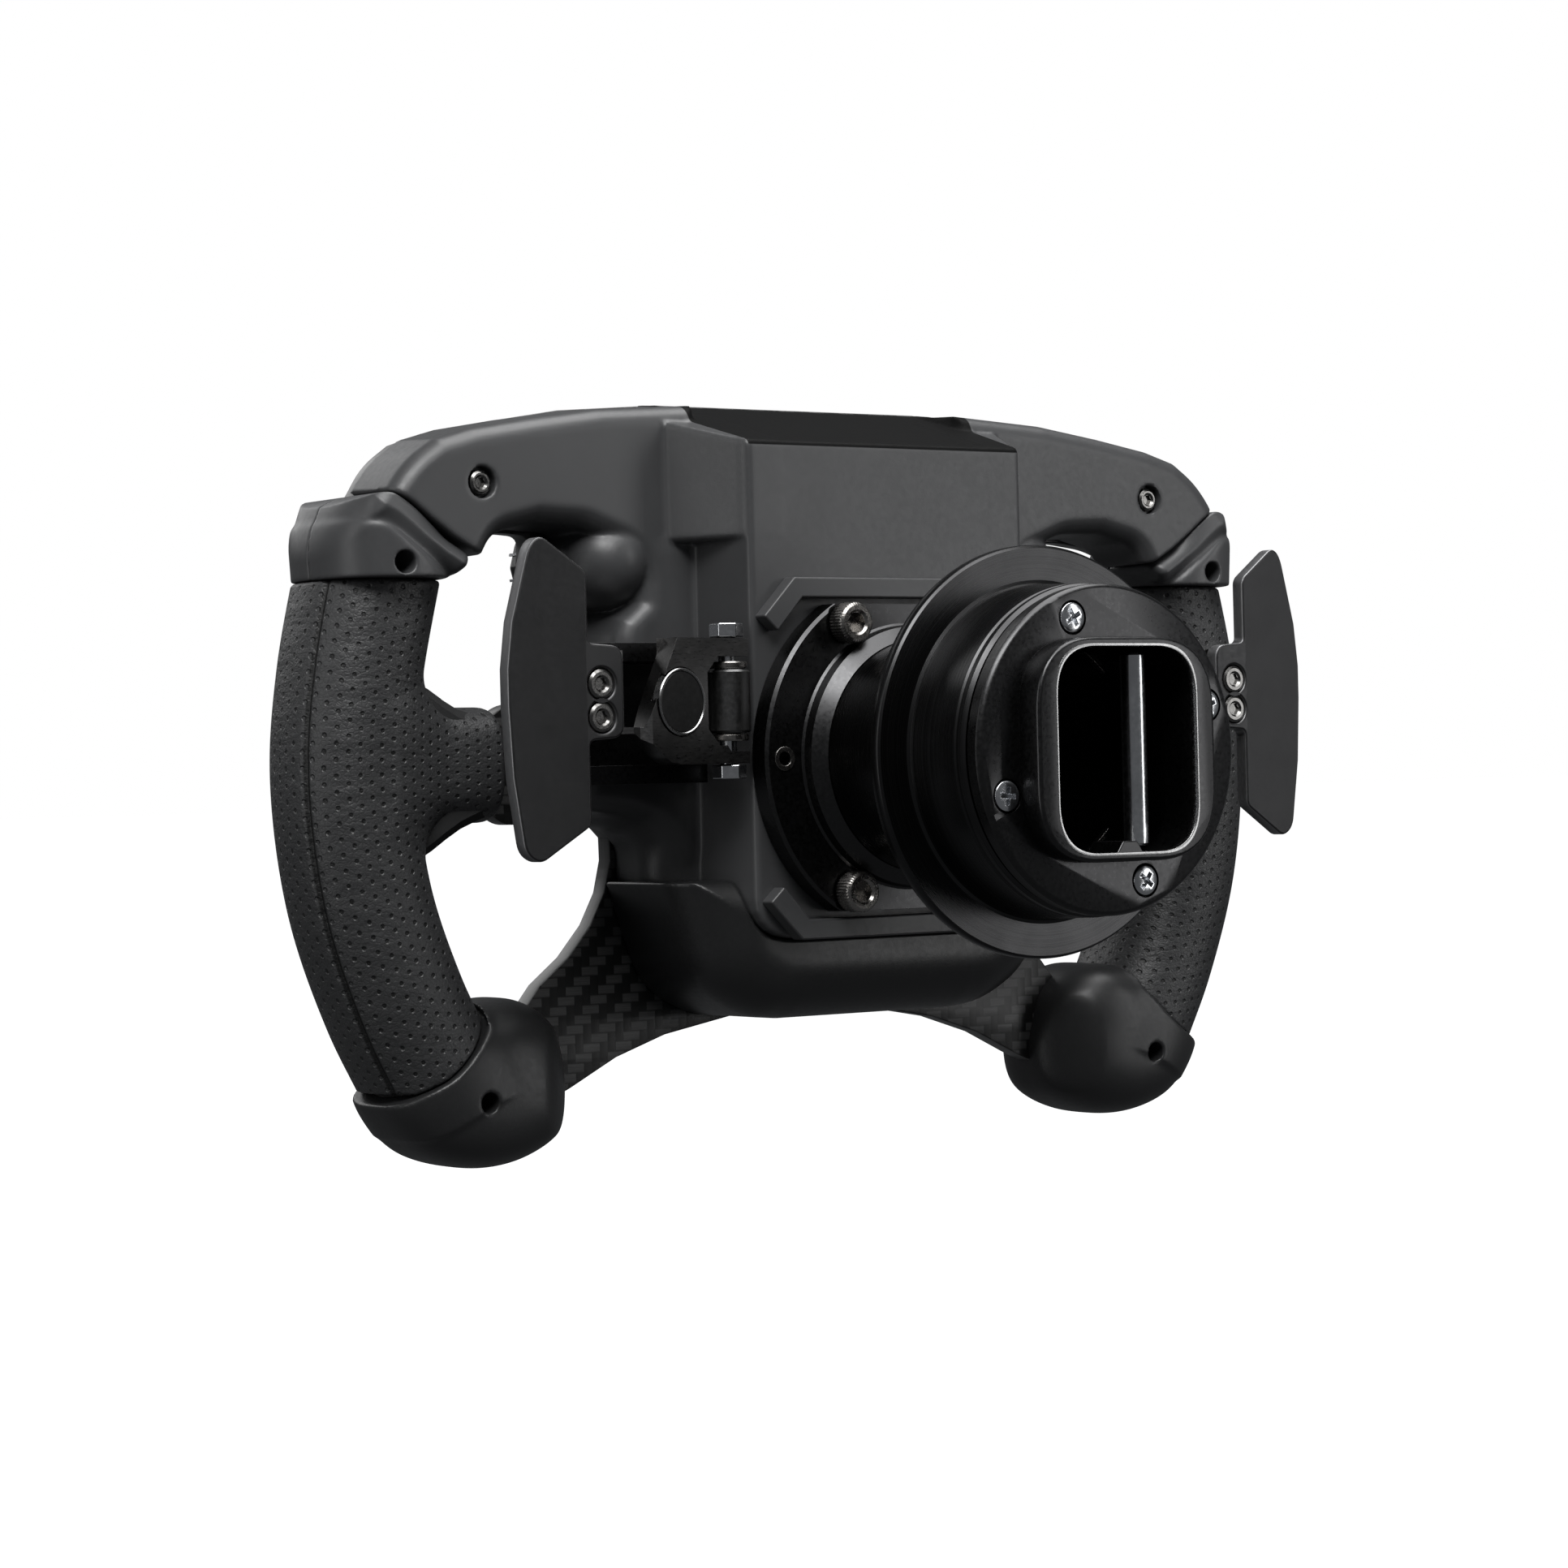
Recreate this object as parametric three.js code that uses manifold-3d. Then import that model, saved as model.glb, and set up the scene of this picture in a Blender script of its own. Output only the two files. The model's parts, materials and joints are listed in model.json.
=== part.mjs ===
// Formula-style sim-racing wheel with its quick-release hub.
// Millimetres. +Z is up, +Y points at the wheelbase, -Y at the driver, +X is the driver's right.
// The origin is on the rotation axis, in the plane of the quick-release socket's mouth.

import * as THREE from 'three';
import { mergeVertices } from 'three/addons/utils/BufferGeometryUtils.js';
import Module from 'manifold-3d';

const wasm = await Module();
wasm.setup();

// ---------------------------------------------------------------- driving dimensions

const GAP = 0.3;                         // air between neighbouring pieces
const FLANGE_BACK = -77;                 // rear face of the bolted hub flange
const PLATE_BACK = FLANGE_BACK - 44.5;   // carbon plate, rear face
const PLATE_THICK = 5;
const PLATE_FRONT = PLATE_BACK - PLATE_THICK;
const BOX_BACK = FLANGE_BACK - 5.7;      // flat rear face of the electronics box
const ARM_BACK = FLANGE_BACK - 25.6;     // rear face of the upper arms
const SHELL_WALL = 2.5;

const GRIP_CENTRE_Y = FLANGE_BACK - 46.7;
const GRIP_HALF_WIDTH = 15;
const GRIP_HALF_DEPTH = 16.8;
const GRIP_SQUARENESS = 2.3;             // superellipse exponent of the grip's section
const LEATHER = 1.7;
const TANG_HALF_WIDTH = 6.5;             // half width of the plate inside a grip

const BOLT_CIRCLE = 70;
const HUB_TUBE_RADIUS = 26.4;
const SOCKET = { width: 38.8, height: 44.4, corner: 11.5, depth: 46 };
const RING = { width: 49.2, height: 47.7, corner: 14 };
const LATCH_PIN = { x: -9, y: -8.8, radius: 2.1, reach: 20.8 };
const SOCKET_SCREW_RADIUS = 29.8;
const SOCKET_SCREW_START = 18.2;         // degrees from the vertical, towards +X

const KNOB = { x: 59, z: 45.5, radius: 10, length: 9.5 };
const ENCODER = { x: 64, y: PLATE_BACK + 1.8, z: 0, radius: 9.3, width: 6 };
const BUTTONS = [[78, 66], [107, 62.8], [34, 4]];
const TOGGLE = { x: 24, z: -22 };
const BUTTON_RADIUS = 5.4;
const SCREEN = { halfWidth: 42, low: 17, high: 62 };
const LIGHT_BAR = { halfWidth: 50, low: 69, high: 76 };

const PIVOT = { x: 47.2, y: FLANGE_BACK - 4.2 };   // vertical axis of the +X paddle
const PADDLE_FRONT = FLANGE_BACK + 7;
const PADDLE_THICK = 3.7;
const MODULE_LOW = -4.9;
const MODULE_HIGH = 26.3;

const GRIP_POINTS = [[112.8, 48], [119.2, 20], [121.3, -2], [118, -29], [109.9, -52], [102.2, -67]];
const GRIP_TOP = 42.7;                   // height where the leather starts under the upper cap

// ---------------------------------------------------------------- materials

const look = (color, roughness, metalness = 0) =>
  new THREE.MeshStandardMaterial({ color, roughness, metalness });
const shellGrey = look(0x55565a, 0.5);
const blackPlastic = look(0x242426, 0.45);
const leatherBlack = look(0x3a3a3c, 0.7);
const foam = look(0x1c1c1c, 0.9);
const carbon = look(0x2a2b2d, 0.4);
const anodised = look(0x1f2022, 0.38, 0.6);
const darkNickel = look(0x77777a, 0.35, 0.9);
const brightZinc = look(0xc4c5c8, 0.28, 0.95);
const brushedSteel = look(0x5c5c60, 0.34, 0.9);
const paddleMetal = look(0x4c4d50, 0.42, 0.7);
const screenGlass = look(0x0b0d10, 0.1);
const board = look(0x16402a, 0.6);
const redCap = look(0x9c2420, 0.45);
const greyCap = look(0x8d8f93, 0.45);

// ---------------------------------------------------------------- geometry helpers

/** Positions only, with shared vertices merged and collapsed triangles removed. */
function weld(geometry) {
  const bare = geometry.clone();
  for (const name of Object.keys(bare.attributes)) {
    if (name !== 'position') bare.deleteAttribute(name);
  }
  const merged = mergeVertices(bare, 1e-4);
  const kept = [];
  for (let i = 0; i < merged.index.count; i += 3) {
    const [a, b, c] = [0, 1, 2].map((k) => merged.index.getX(i + k));
    if (a !== b && b !== c && c !== a) kept.push(a, b, c);
  }
  merged.setIndex(kept);
  return merged;
}

/** A closed geometry as a solid; one that is inside out is turned the right way. */
function solid(geometry) {
  const welded = weld(geometry);
  const make = (triangles) => new wasm.Manifold(new wasm.Mesh({
    numProp: 3,
    vertProperties: new Float32Array(welded.attributes.position.array),
    triVerts: new Uint32Array(triangles),
  }));
  const triangles = Array.from(welded.index.array);
  const first = make(triangles);
  if (first.volume() > 0) return first;
  return make(triangles.reverse());
}

function toGeometry(manifold) {
  const mesh = manifold.getMesh();
  const geometry = new THREE.BufferGeometry();
  geometry.setAttribute('position', new THREE.BufferAttribute(mesh.vertProperties, 3));
  geometry.setIndex(new THREE.BufferAttribute(mesh.triVerts, 1));
  geometry.computeVertexNormals();
  return geometry;
}

/** Moves every vertex of a geometry by a rule. */
function mapped(geometry, rule) {
  const position = geometry.attributes.position;
  const point = new THREE.Vector3();
  for (let i = 0; i < position.count; i += 1) {
    point.fromBufferAttribute(position, i);
    const moved = rule(point);
    position.setXYZ(i, moved.x, moved.y, moved.z);
  }
  return geometry;
}

/** A closed outline in the wheel's plane. Each point is [x, z] or [x, z, corner radius]. */
function outline(points) {
  const shape = new THREE.Shape();
  const corner = points.map(([x, z]) => new THREE.Vector2(x, z));
  const towards = (from, to, distance) =>
    to.clone().sub(from).setLength(Math.min(distance, from.distanceTo(to) * 0.49)).add(from);
  corner.forEach((here, i) => {
    const radius = points[i][2] ?? 0;
    const before = towards(here, corner[(i + corner.length - 1) % corner.length], radius);
    const after = towards(here, corner[(i + 1) % corner.length], radius);
    if (i === 0) shape.moveTo(before.x, before.y);
    else shape.lineTo(before.x, before.y);
    if (radius > 0) shape.quadraticCurveTo(here.x, here.y, after.x, after.y);
  });
  shape.closePath();
  return shape;
}

const mirrorPoints = (points) => points.map(([x, z, r]) => [-x, z, r]).reverse();
const bothSides = (rightHalf) => [...rightHalf, ...mirrorPoints(rightHalf)];

function circle(x, z, radius, sides = 12) {
  const rim = Array.from({ length: sides }, (_, i) => {
    const angle = (i / sides) * Math.PI * 2;
    return new THREE.Vector2(x + radius * Math.cos(angle), z + radius * Math.sin(angle));
  });
  return new THREE.Shape(rim);
}

function rectangle(x0, x1, z0, z1, radius = 0) {
  return outline([[x0, z0, radius], [x1, z0, radius], [x1, z1, radius], [x0, z1, radius]]);
}

/** An outline in the wheel's plane made solid from y = front to y = back, edges rounded by bevel. */
function slab(shape, front, back, { bevel = 0, curveSegments = 2, bevelSegments = 1 } = {}) {
  return new THREE.ExtrudeGeometry(shape, {
    depth: back - front - 2 * bevel,
    bevelEnabled: bevel > 0,
    bevelThickness: bevel,
    bevelSize: bevel,
    bevelOffset: -bevel,
    bevelSegments,
    curveSegments,
  }).rotateX(Math.PI / 2).translate(0, back - bevel, 0);
}

/** A slab whose rear outline differs from its front one, point for point. */
function taperedSlab(frontPoints, backPoints, front, back) {
  const nearest = (x, z) => {
    const distance = frontPoints.map(([px, pz]) => (px - x) ** 2 + (pz - z) ** 2);
    return distance.indexOf(Math.min(...distance));
  };
  return mapped(slab(outline(frontPoints), front, back), (p) => {
    if (p.y < (front + back) / 2) return p;
    const [x, z] = backPoints[nearest(p.x, p.z)];
    return new THREE.Vector3(x, back, z);
  });
}

function box(x0, x1, y0, y1, z0, z1) {
  return new THREE.BoxGeometry(x1 - x0, y1 - y0, z1 - z0)
    .translate((x0 + x1) / 2, (y0 + y1) / 2, (z0 + z1) / 2);
}

/** A body turned about the Y axis from [radius, y] points that close on themselves or on the axis. */
function turned(points, segments = 32) {
  const onAxis = points[0][0] === 0;
  const profile = (onAxis ? points : [...points, points[0]]).map(([r, y]) => new THREE.Vector2(r, y));
  return new THREE.LatheGeometry(profile, segments);
}

/** A round bar along Y. */
function rod(radius, y0, y1, segments = 20) {
  return new THREE.CylinderGeometry(radius, radius, y1 - y0, segments).translate(0, (y0 + y1) / 2, 0);
}

/** A round bar standing along Z at x, y. */
function post(radius, x, y, z0, z1, segments = 16) {
  return new THREE.CylinderGeometry(radius, radius, z1 - z0, segments)
    .rotateX(Math.PI / 2).translate(x, y, (z0 + z1) / 2);
}

function joined(...geometries) {
  return geometries.map((g) => solid(g)).reduce((a, b) => a.add(b));
}

function cut(body, ...tools) {
  const asSolid = (tool) => (tool instanceof THREE.BufferGeometry ? solid(tool) : tool);
  return tools.reduce((rest, tool) => rest.subtract(asSolid(tool)), body);
}

function flipX(geometry) {
  const flipped = geometry.clone().scale(-1, 1, 1);
  flipped.setIndex(Array.from(flipped.index.array).reverse());
  return flipped;
}

const wheel = new THREE.Group();

/** Adds one named sub-part; body is a geometry or a solid. */
function piece(name, material, body, parent = wheel) {
  const geometry = body instanceof THREE.BufferGeometry ? toGeometry(solid(body)) : toGeometry(body);
  const mesh = new THREE.Mesh(geometry, material);
  mesh.name = name;
  parent.add(mesh);
  return mesh;
}

/** Adds the driver's-right piece and its mirror image on the left. */
function pair(name, material, body) {
  const right = piece(`${name}_right`, material, body);
  const left = new THREE.Mesh(flipX(right.geometry), material);
  left.name = `${name}_left`;
  wheel.add(left);
}

// ---------------------------------------------------------------- the grip's path and section

const gripCurve = new THREE.CatmullRomCurve3(
  GRIP_POINTS.map(([x, z]) => new THREE.Vector3(x, GRIP_CENTRE_Y, z)));

/** The place and direction on the grip's centre line; u runs 0 to 1, and straight on past each end. */
function gripFrame(u) {
  const inside = Math.min(Math.max(u, 0), 1);
  const along = gripCurve.getTangentAt(inside);
  const centre = gripCurve.getPointAt(inside).addScaledVector(along, (u - inside) * gripCurve.getLength());
  const outward = new THREE.Vector3(-along.z, 0, along.x);
  return { centre, along, outward };
}

/** The u at which the centre line passes a height. */
function gripAt(height) {
  let [low, high] = [0, 1];
  for (let i = 0; i < 30; i += 1) {
    const middle = (low + high) / 2;
    if (gripCurve.getPointAt(middle).z > height) low = middle;
    else high = middle;
  }
  return low;
}

/** The grip's body between two places on its path, drawn in by inset all round. */
function gripSweep(from, to, inset, { radial = 16, steps = 8, halfDepth = GRIP_HALF_DEPTH } = {}) {
  const power = 2 / GRIP_SQUARENESS;
  const bulge = (value) => Math.sign(value) * Math.abs(value) ** power;
  return mapped(new THREE.CylinderGeometry(1, 1, 1, radial, steps), (p) => {
    const { centre, outward } = gripFrame(from + (0.5 - p.y) * (to - from));
    centre.addScaledVector(outward, bulge(p.x) * (GRIP_HALF_WIDTH - inset));
    centre.y += bulge(p.z) * (halfDepth - inset);
    return centre;
  });
}

/** Points at one side of the centre line, in order, for an outline in the wheel's plane. */
function besideGrip(offset, from, to, count) {
  return Array.from({ length: count }, (_, i) => {
    const { centre, outward } = gripFrame(from + (i / (count - 1)) * (to - from));
    return [centre.x + outward.x * offset, centre.z + outward.z * offset];
  });
}

// ---------------------------------------------------------------- carbon face plate

const plateTop = [
  [37.6, 82.8], [64.4, 80.8], [82.4, 77.8], [98, 74.8], [106.8, 71.8], [113.5, 67, 4], [118.2, 59.5],
];
const plateFoot = [[99, -78, 4], [80, -79, 4], [67, -74.6, 3], [52.7, -67.5], [39, -63], [20.6, -59.7]];
const plateOutline = bothSides([
  ...plateTop,
  ...besideGrip(TANG_HALF_WIDTH, 0.02, 0.99, 9),
  ...plateFoot,
]);
const upperFingerHole = [
  [58, 33.5, 3], [52, 38, 3], [50.5, 33, 3], [55.5, 26, 3], [57, 17, 4], [62, 14, 3], [80, 14, 3],
  [86, 10, 3],
  ...besideGrip(-TANG_HALF_WIDTH, gripAt(10), 0.02, 5),
  [101, 48, 5], [94, 51, 4], [81, 52.6, 3], [73, 52, 3], [74, 44, 4], [70, 34.5, 5], [64, 31.5, 4],
];
const lowerFingerHole = [
  [82, -13.4, 3], [57, -13.2, 3], [53.2, -17], [53.1, -22.2], [54.9, -29.6], [58.9, -36.9], [65.2, -44],
  [73, -50], [78, -56, 3], [88, -64.2], [97, -66.6],
  ...besideGrip(-TANG_HALF_WIDTH, 1, gripAt(-9.5), 7),
  [86, -9.5, 3],
];

/** A module's front frame, drawn in by inset. */
const frameShape = ({ halfWidth, low, high }, inset, radius) =>
  rectangle(-halfWidth + inset, halfWidth - inset, low + inset, high - inset, radius);

function facePlate() {
  const shape = outline(plateOutline);
  for (const side of [1, -1]) {
    const onSide = (points) => (side === 1 ? points : mirrorPoints(points));
    shape.holes.push(outline(onSide(upperFingerHole)), outline(onSide(lowerFingerHole)));
    shape.holes.push(circle(side * KNOB.x, KNOB.z, 3.6));
    shape.holes.push(circle(side * TOGGLE.x, TOGGLE.z, 4.4));
    const [slotX, slotZ] = [ENCODER.width / 2 + 0.7, ENCODER.radius + 0.6];
    shape.holes.push(rectangle(side * ENCODER.x - slotX, side * ENCODER.x + slotX, -slotZ, slotZ, 1));
    for (const [x, z] of BUTTONS) shape.holes.push(circle(side * x, z, BUTTON_RADIUS + 0.4));
  }
  shape.holes.push(frameShape(SCREEN, 3, 2), frameShape(LIGHT_BAR, 2, 1));
  return slab(shape, PLATE_FRONT, PLATE_BACK);
}
piece('face_plate', carbon, facePlate());

/** The plate's body grown by the usual gap, used to cut its pocket in the parts that clasp it. */
const platePocket = solid(slab(
  outline(bothSides([
    ...plateTop.map(([x, z]) => [x + GAP, z + GAP]),
    ...besideGrip(TANG_HALF_WIDTH + GAP, 0.02, 0.99, 9),
    ...plateFoot.map(([x, z]) => [x + GAP / 2, z - GAP]),
  ])),
  PLATE_FRONT - GAP,
  PLATE_BACK + GAP,
));

// ---------------------------------------------------------------- grips

const LEATHER_TOP = gripAt(GRIP_TOP);
const wingOutline = (grow, innerEnd) => [
  [innerEnd, -12.5 - grow, 4], [innerEnd, 13 + grow, 4], [97, 14.5 + grow, 6], [104, 20 + grow, 4],
  [116, 24 + grow], [116, -27 - grow], [104, -21 - grow, 4], [97, -16 - grow, 6],
];

/** The leather's inward reach along the spoke, drawn in by inset. */
function gripWing(inset, innerEnd) {
  const reach = 12.5 - inset;
  const shape = outline(wingOutline(-inset, innerEnd));
  return slab(shape, GRIP_CENTRE_Y - reach, GRIP_CENTRE_Y + reach, { bevel: 2 });
}

const PAST_END = 0.06;
const gripOuter = joined(gripSweep(LEATHER_TOP, 1, 0), gripWing(0, 86));
const gripHollow = joined(gripSweep(LEATHER_TOP - PAST_END, 1 + PAST_END, LEATHER), gripWing(LEATHER, 80));
pair('grip_cover', leatherBlack, cut(gripOuter, gripHollow));

const tangPocket = joined(
  mapped(new THREE.BoxGeometry(1, 1, 1, 1, 8, 1), (p) => {
    const { centre, outward } = gripFrame(0.5 - p.y * 1.2);
    centre.addScaledVector(outward, p.x * 2 * (TANG_HALF_WIDTH + 2 * GAP));
    centre.y = p.z > 0 ? PLATE_BACK + GAP : PLATE_FRONT - GAP;
    return centre;
  }),
  box(70, 116, PLATE_FRONT - GAP, PLATE_BACK + GAP, -9.5 - GAP, 10 + GAP),
);
const coreBody = joined(
  gripSweep(LEATHER_TOP, 1, LEATHER + 2 * GAP, { radial: 12, steps: 8 }),
  gripWing(LEATHER + 2 * GAP, 86.4),
);
pair('grip_core', foam, cut(coreBody, tangPocket));

// ---------------------------------------------------------------- end caps of the grips

const CAP_PARTING = PLATE_BACK;
const CAP_BACK = FLANGE_BACK - 25.4;
const capOutline = outline([[88, 39.4], [124.5, 60.2], [127, 62], [140, 62], [140, 30], [88, 30]]);

/** One half of an upper cap: the grip's own section, deeper, cut off along the arm's slanting end. */
function upperCap(front, back, halfDepth) {
  const section = solid(gripSweep(-0.3, LEATHER_TOP - 0.003, 0, { steps: 4, halfDepth }));
  return section.intersect(solid(slab(capOutline, front, back))).subtract(platePocket);
}
pair('upper_cap_rear', shellGrey, cut(
  upperCap(CAP_PARTING + GAP / 2, GRIP_CENTRE_Y + 40, CAP_BACK - GRIP_CENTRE_Y),
  rod(2.1, CAP_BACK - 8, FLANGE_BACK, 12).translate(113.5, 0, 47),
));
pair('upper_cap_front', blackPlastic, upperCap(GRIP_CENTRE_Y - 40, CAP_PARTING - GAP / 2, GRIP_HALF_DEPTH));

/** Rounded pillow: an outline in the wheel's plane that closes smoothly to a front and a rear crown. */
function pillow(points, centreX, centreZ, halfFront, halfBack, fullness) {
  const rim = new THREE.CatmullRomCurve3(points.map(([x, z]) => new THREE.Vector3(x, 0, z)), true);
  const samples = rim.getPoints(180).map((p) => ({
    angle: Math.atan2(p.z - centreZ, p.x - centreX),
    radius: Math.hypot(p.x - centreX, p.z - centreZ),
  }));
  const rimRadius = (angle) => {
    const away = (s) => Math.abs(Math.atan2(Math.sin(s.angle - angle), Math.cos(s.angle - angle)));
    return samples.reduce((best, s) => (away(s) < away(best) ? s : best)).radius;
  };
  return mapped(new THREE.SphereGeometry(1, 24, 10), (p) => {
    const level = Math.hypot(p.x, p.z);
    const swell = (level ** fullness + Math.abs(p.y) ** fullness) ** (-1 / fullness);
    const angle = Math.atan2(p.z, p.x);
    const radius = rimRadius(angle) * level * swell;
    const depth = p.y * swell * (p.y > 0 ? halfBack : halfFront);
    return new THREE.Vector3(
      centreX + radius * Math.cos(angle), GRIP_CENTRE_Y + depth, centreZ + radius * Math.sin(angle));
  });
}

const lowerCapRim = [
  [90, -52.5], [82, -52.5], [74.5, -57], [70.5, -65], [69, -74], [72, -83], [82, -88.5], [94, -89.8],
  [106, -86.5], [114.5, -79], [118, -71.5], [116, -63], [102, -55],
];
const gripClearance = gripSweep(-PAST_END, 1 + GAP / 100, -GAP);
const gripFlare = mapped(new THREE.BoxGeometry(1, 1, 1, 1, 10, 1), (p) => {
  const { centre, outward } = gripFrame(0.5 - p.y - 0.003);
  centre.addScaledVector(outward, p.x > 0 ? 30 : -GRIP_HALF_WIDTH + 2.5);
  centre.y += p.z * 60;
  return centre;
});
pair('lower_cap', blackPlastic, cut(
  solid(pillow(lowerCapRim, 95, -71, 17, 18, 2.7)),
  gripClearance,
  gripFlare,
  platePocket,
  rod(1.9, GRIP_CENTRE_Y + 8, FLANGE_BACK, 16).translate(96.5, 0, -74.3),
));

// ---------------------------------------------------------------- rear shell and lower cover

const armOutline = [
  [37.6, 81.6], [64.4, 79.8], [82.4, 76.8], [98, 73.8], [106.3, 70.8], [112.8, 66, 4], [117.5, 56.9],
  [116.6, 56.4],
  [99.6, 46.4], [94, 50.6], [81.3, 52.2], [73, 51.6, 3], [74, 44, 4], [70, 34, 5], [63, 31, 4],
  [56, 31, 3], [56.2, 26, 3], [58, 14, 4], [72, 12, 3], [73.5, -11, 3], [60, -12.5, 3], [52, -15, 3], [44, -24],
  [44, -40.5], [20, -40.6],
];
const flankFront = [
  [56, -12.5], [52, -17], [52, -25], [49.5, -34], [46, -40.2], [38, -40.2], [38, -5], [56, -5],
];
const flankBack = [[50, -12], [47, -18], [46, -26], [44.5, -36], [43, -39], [38, -39], [38, -5], [46, -5]];
const boxFront = [[43, 81.4], [44, -22], [44, -40.5], [-44, -40.5], [-44, -22], [-43, 81.4]];
const boxBack = [[39, 71.6], [39.2, -22], [39.2, -40.5], [-39.2, -40.5], [-39.2, -22], [-39, 71.6]];
const shoulderFront = [[50.5, 80.2], [50.5, 49.5], [38, 49.5], [38, 81]];
const shoulderBack = [[39.2, 71.5], [39.2, 49.5], [38, 49.5], [38, 71.5]];
const BOX_ROOT = PLATE_BACK + GAP;
const lipOutline = (sign) => outline([
  [38.2, 32], [29.6, 40.8], [-29.6, 40.8], [-38.2, 32],
  [-34.4, 28.6], [-27.4, 36.2], [27.4, 36.2], [34.4, 28.6],
].map(([x, z]) => [x, z * sign]));

const armHollow = [[66, 56], [84, 55], [103, 54], [114, 60], [112, 66], [104, 69.5], [66, 76]];
const screwSeat = { x: 96.5, z: 62.4, radius: 3.9, depth: 3.2 };

function rearShell() {
  const pod = (side) => turned([
    [0, ARM_BACK + 4.6], [4, ARM_BACK + 4.1], [7.6, ARM_BACK + 2], [9.8, ARM_BACK - 2], [10.6, ARM_BACK - 7],
    [11, BOX_ROOT], [0, BOX_ROOT],
  ], 16).translate(side * KNOB.x, 0, KNOB.z);
  const outside = joined(
    slab(outline(bothSides(armOutline)), BOX_ROOT, ARM_BACK),
    taperedSlab(boxFront, boxBack, BOX_ROOT + 4, BOX_BACK),
    ...[1, -1].flatMap((side) => {
      const onSide = (points) => points.map(([x, z]) => [x * side, z]);
      return [
        taperedSlab(onSide(shoulderFront), onSide(shoulderBack), BOX_ROOT + 14, BOX_BACK - 0.6),
        taperedSlab(onSide(flankFront), onSide(flankBack), BOX_ROOT, FLANGE_BACK - 24),
        pod(side),
        slab(lipOutline(side), BOX_BACK - 1, FLANGE_BACK - 2),
      ];
    }),
  );
  const inward = ([x, z]) => [x - Math.sign(x) * SHELL_WALL, z - Math.sign(z) * SHELL_WALL];
  const hollow = joined(
    taperedSlab(boxFront.map(inward), boxBack.map(inward), BOX_ROOT - 1, BOX_BACK - SHELL_WALL),
    ...[1, -1].flatMap((side) => [
      slab(outline(armHollow.map(([x, z]) => [x * side, z])), BOX_ROOT - 1, ARM_BACK - SHELL_WALL),
      box(side * ENCODER.x - 5.4, side * ENCODER.x + 5.4, BOX_ROOT - 1, BOX_ROOT + 11.5, -10.1, 10.1),
      rod(8.2, BOX_ROOT - 1, ARM_BACK - 1).translate(side * KNOB.x, 0, KNOB.z),
      box(side * 50 - 8, side * 50 + 8, BOX_ROOT - 1, BOX_ROOT + 8, -6, 6),
      box(side * 60 - 8, side * 60 + 8, BOX_ROOT - 1, BOX_ROOT + 8, 58, 70),
      box(side * 45 - 8, side * 45 + 8, BOX_ROOT - 1, BOX_ROOT + 8, 41, 50),
    ]),
    rod(7, BOX_BACK - 6, FLANGE_BACK),
  );
  const screwHoles = [1, -1].flatMap((side) => [
    rod(screwSeat.radius + GAP, ARM_BACK - screwSeat.depth, FLANGE_BACK, 12),
    rod(1.9, ARM_BACK - 9, FLANGE_BACK, 8),
  ].map((hole) => hole.translate(side * screwSeat.x, 0, screwSeat.z)));
  const bosses = joined(...[1, -1].map((side) =>
    rod(6.5, BOX_ROOT, ARM_BACK - 2).translate(side * screwSeat.x, 0, screwSeat.z)));
  return cut(cut(outside, hollow).add(bosses), ...screwHoles);
}
piece('rear_shell', shellGrey, rearShell());

const chinFront = bothSides([[43.7, -40.9], [51, -41], [47, -51], [41, -56], [33, -58.6], [16, -59]]);
const chinBack = bothSides([[42.5, -40.9], [46, -41], [44, -48], [38, -53], [30, -55.6], [15, -56.4]]);
const chinEnd = bothSides([[38.8, -40.9], [40, -41], [38, -43.8], [34, -45.6], [28, -46.8], [14, -47.2]]);

function lowerCover() {
  const knee = FLANGE_BACK - 18;
  const body = joined(
    taperedSlab(chinFront, chinBack, BOX_ROOT, knee + 0.01),
    taperedSlab(chinBack, chinEnd, knee, FLANGE_BACK - 8.2),
  );
  const inward = ([x, z]) => [x * 0.93, -41 + (z + 41) * 0.8];
  return cut(body, taperedSlab(chinFront.map(inward), chinBack.map(inward), BOX_ROOT - 1, knee - 1));
}
piece('lower_cover', shellGrey, lowerCover());

/** Pan-head machine screw along Y: its head's rear face at y = 0, its shank towards the driver. */
function screw(headRadius, headHeight, shankRadius, shankLength, crossWidth, { segments = 12 } = {}) {
  const body = turned([
    [0, 0], [headRadius * 0.86, 0], [headRadius, -headHeight * 0.35], [headRadius, -headHeight],
    [shankRadius, -headHeight], [shankRadius, -headHeight - shankLength], [0, -headHeight - shankLength],
  ].reverse(), segments);
  const reach = headRadius * 0.62;
  const depth = headHeight * 0.55;
  const blade = (alongX) => box(
    alongX ? -reach : -crossWidth / 2, alongX ? reach : crossWidth / 2, -depth, 1,
    alongX ? -crossWidth / 2 : -reach, alongX ? crossWidth / 2 : reach);
  return cut(solid(body), blade(true), blade(false));
}

/** Socket-head screw along Y with a hexagon recess; head's rear face at y = 0. */
function socketScrew(headRadius, headHeight, shankRadius, shankLength, hexRadius) {
  const body = turned([
    [0, 0], [headRadius - 0.4, 0], [headRadius, -0.4], [headRadius, -headHeight],
    [shankRadius, -headHeight], [shankRadius, -headHeight - shankLength], [0, -headHeight - shankLength],
  ].reverse(), 12);
  return cut(solid(body), rod(hexRadius, -headHeight * 0.6, 1, 6));
}

for (const [name, side] of [['right', 1], ['left', -1]]) {
  const topScrew = piece(`top_screw_${name}`, blackPlastic, screw(screwSeat.radius, 2.4, 1.5, 3, 0.9));
  topScrew.position.set(side * screwSeat.x, ARM_BACK - 0.4, screwSeat.z);
}

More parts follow.
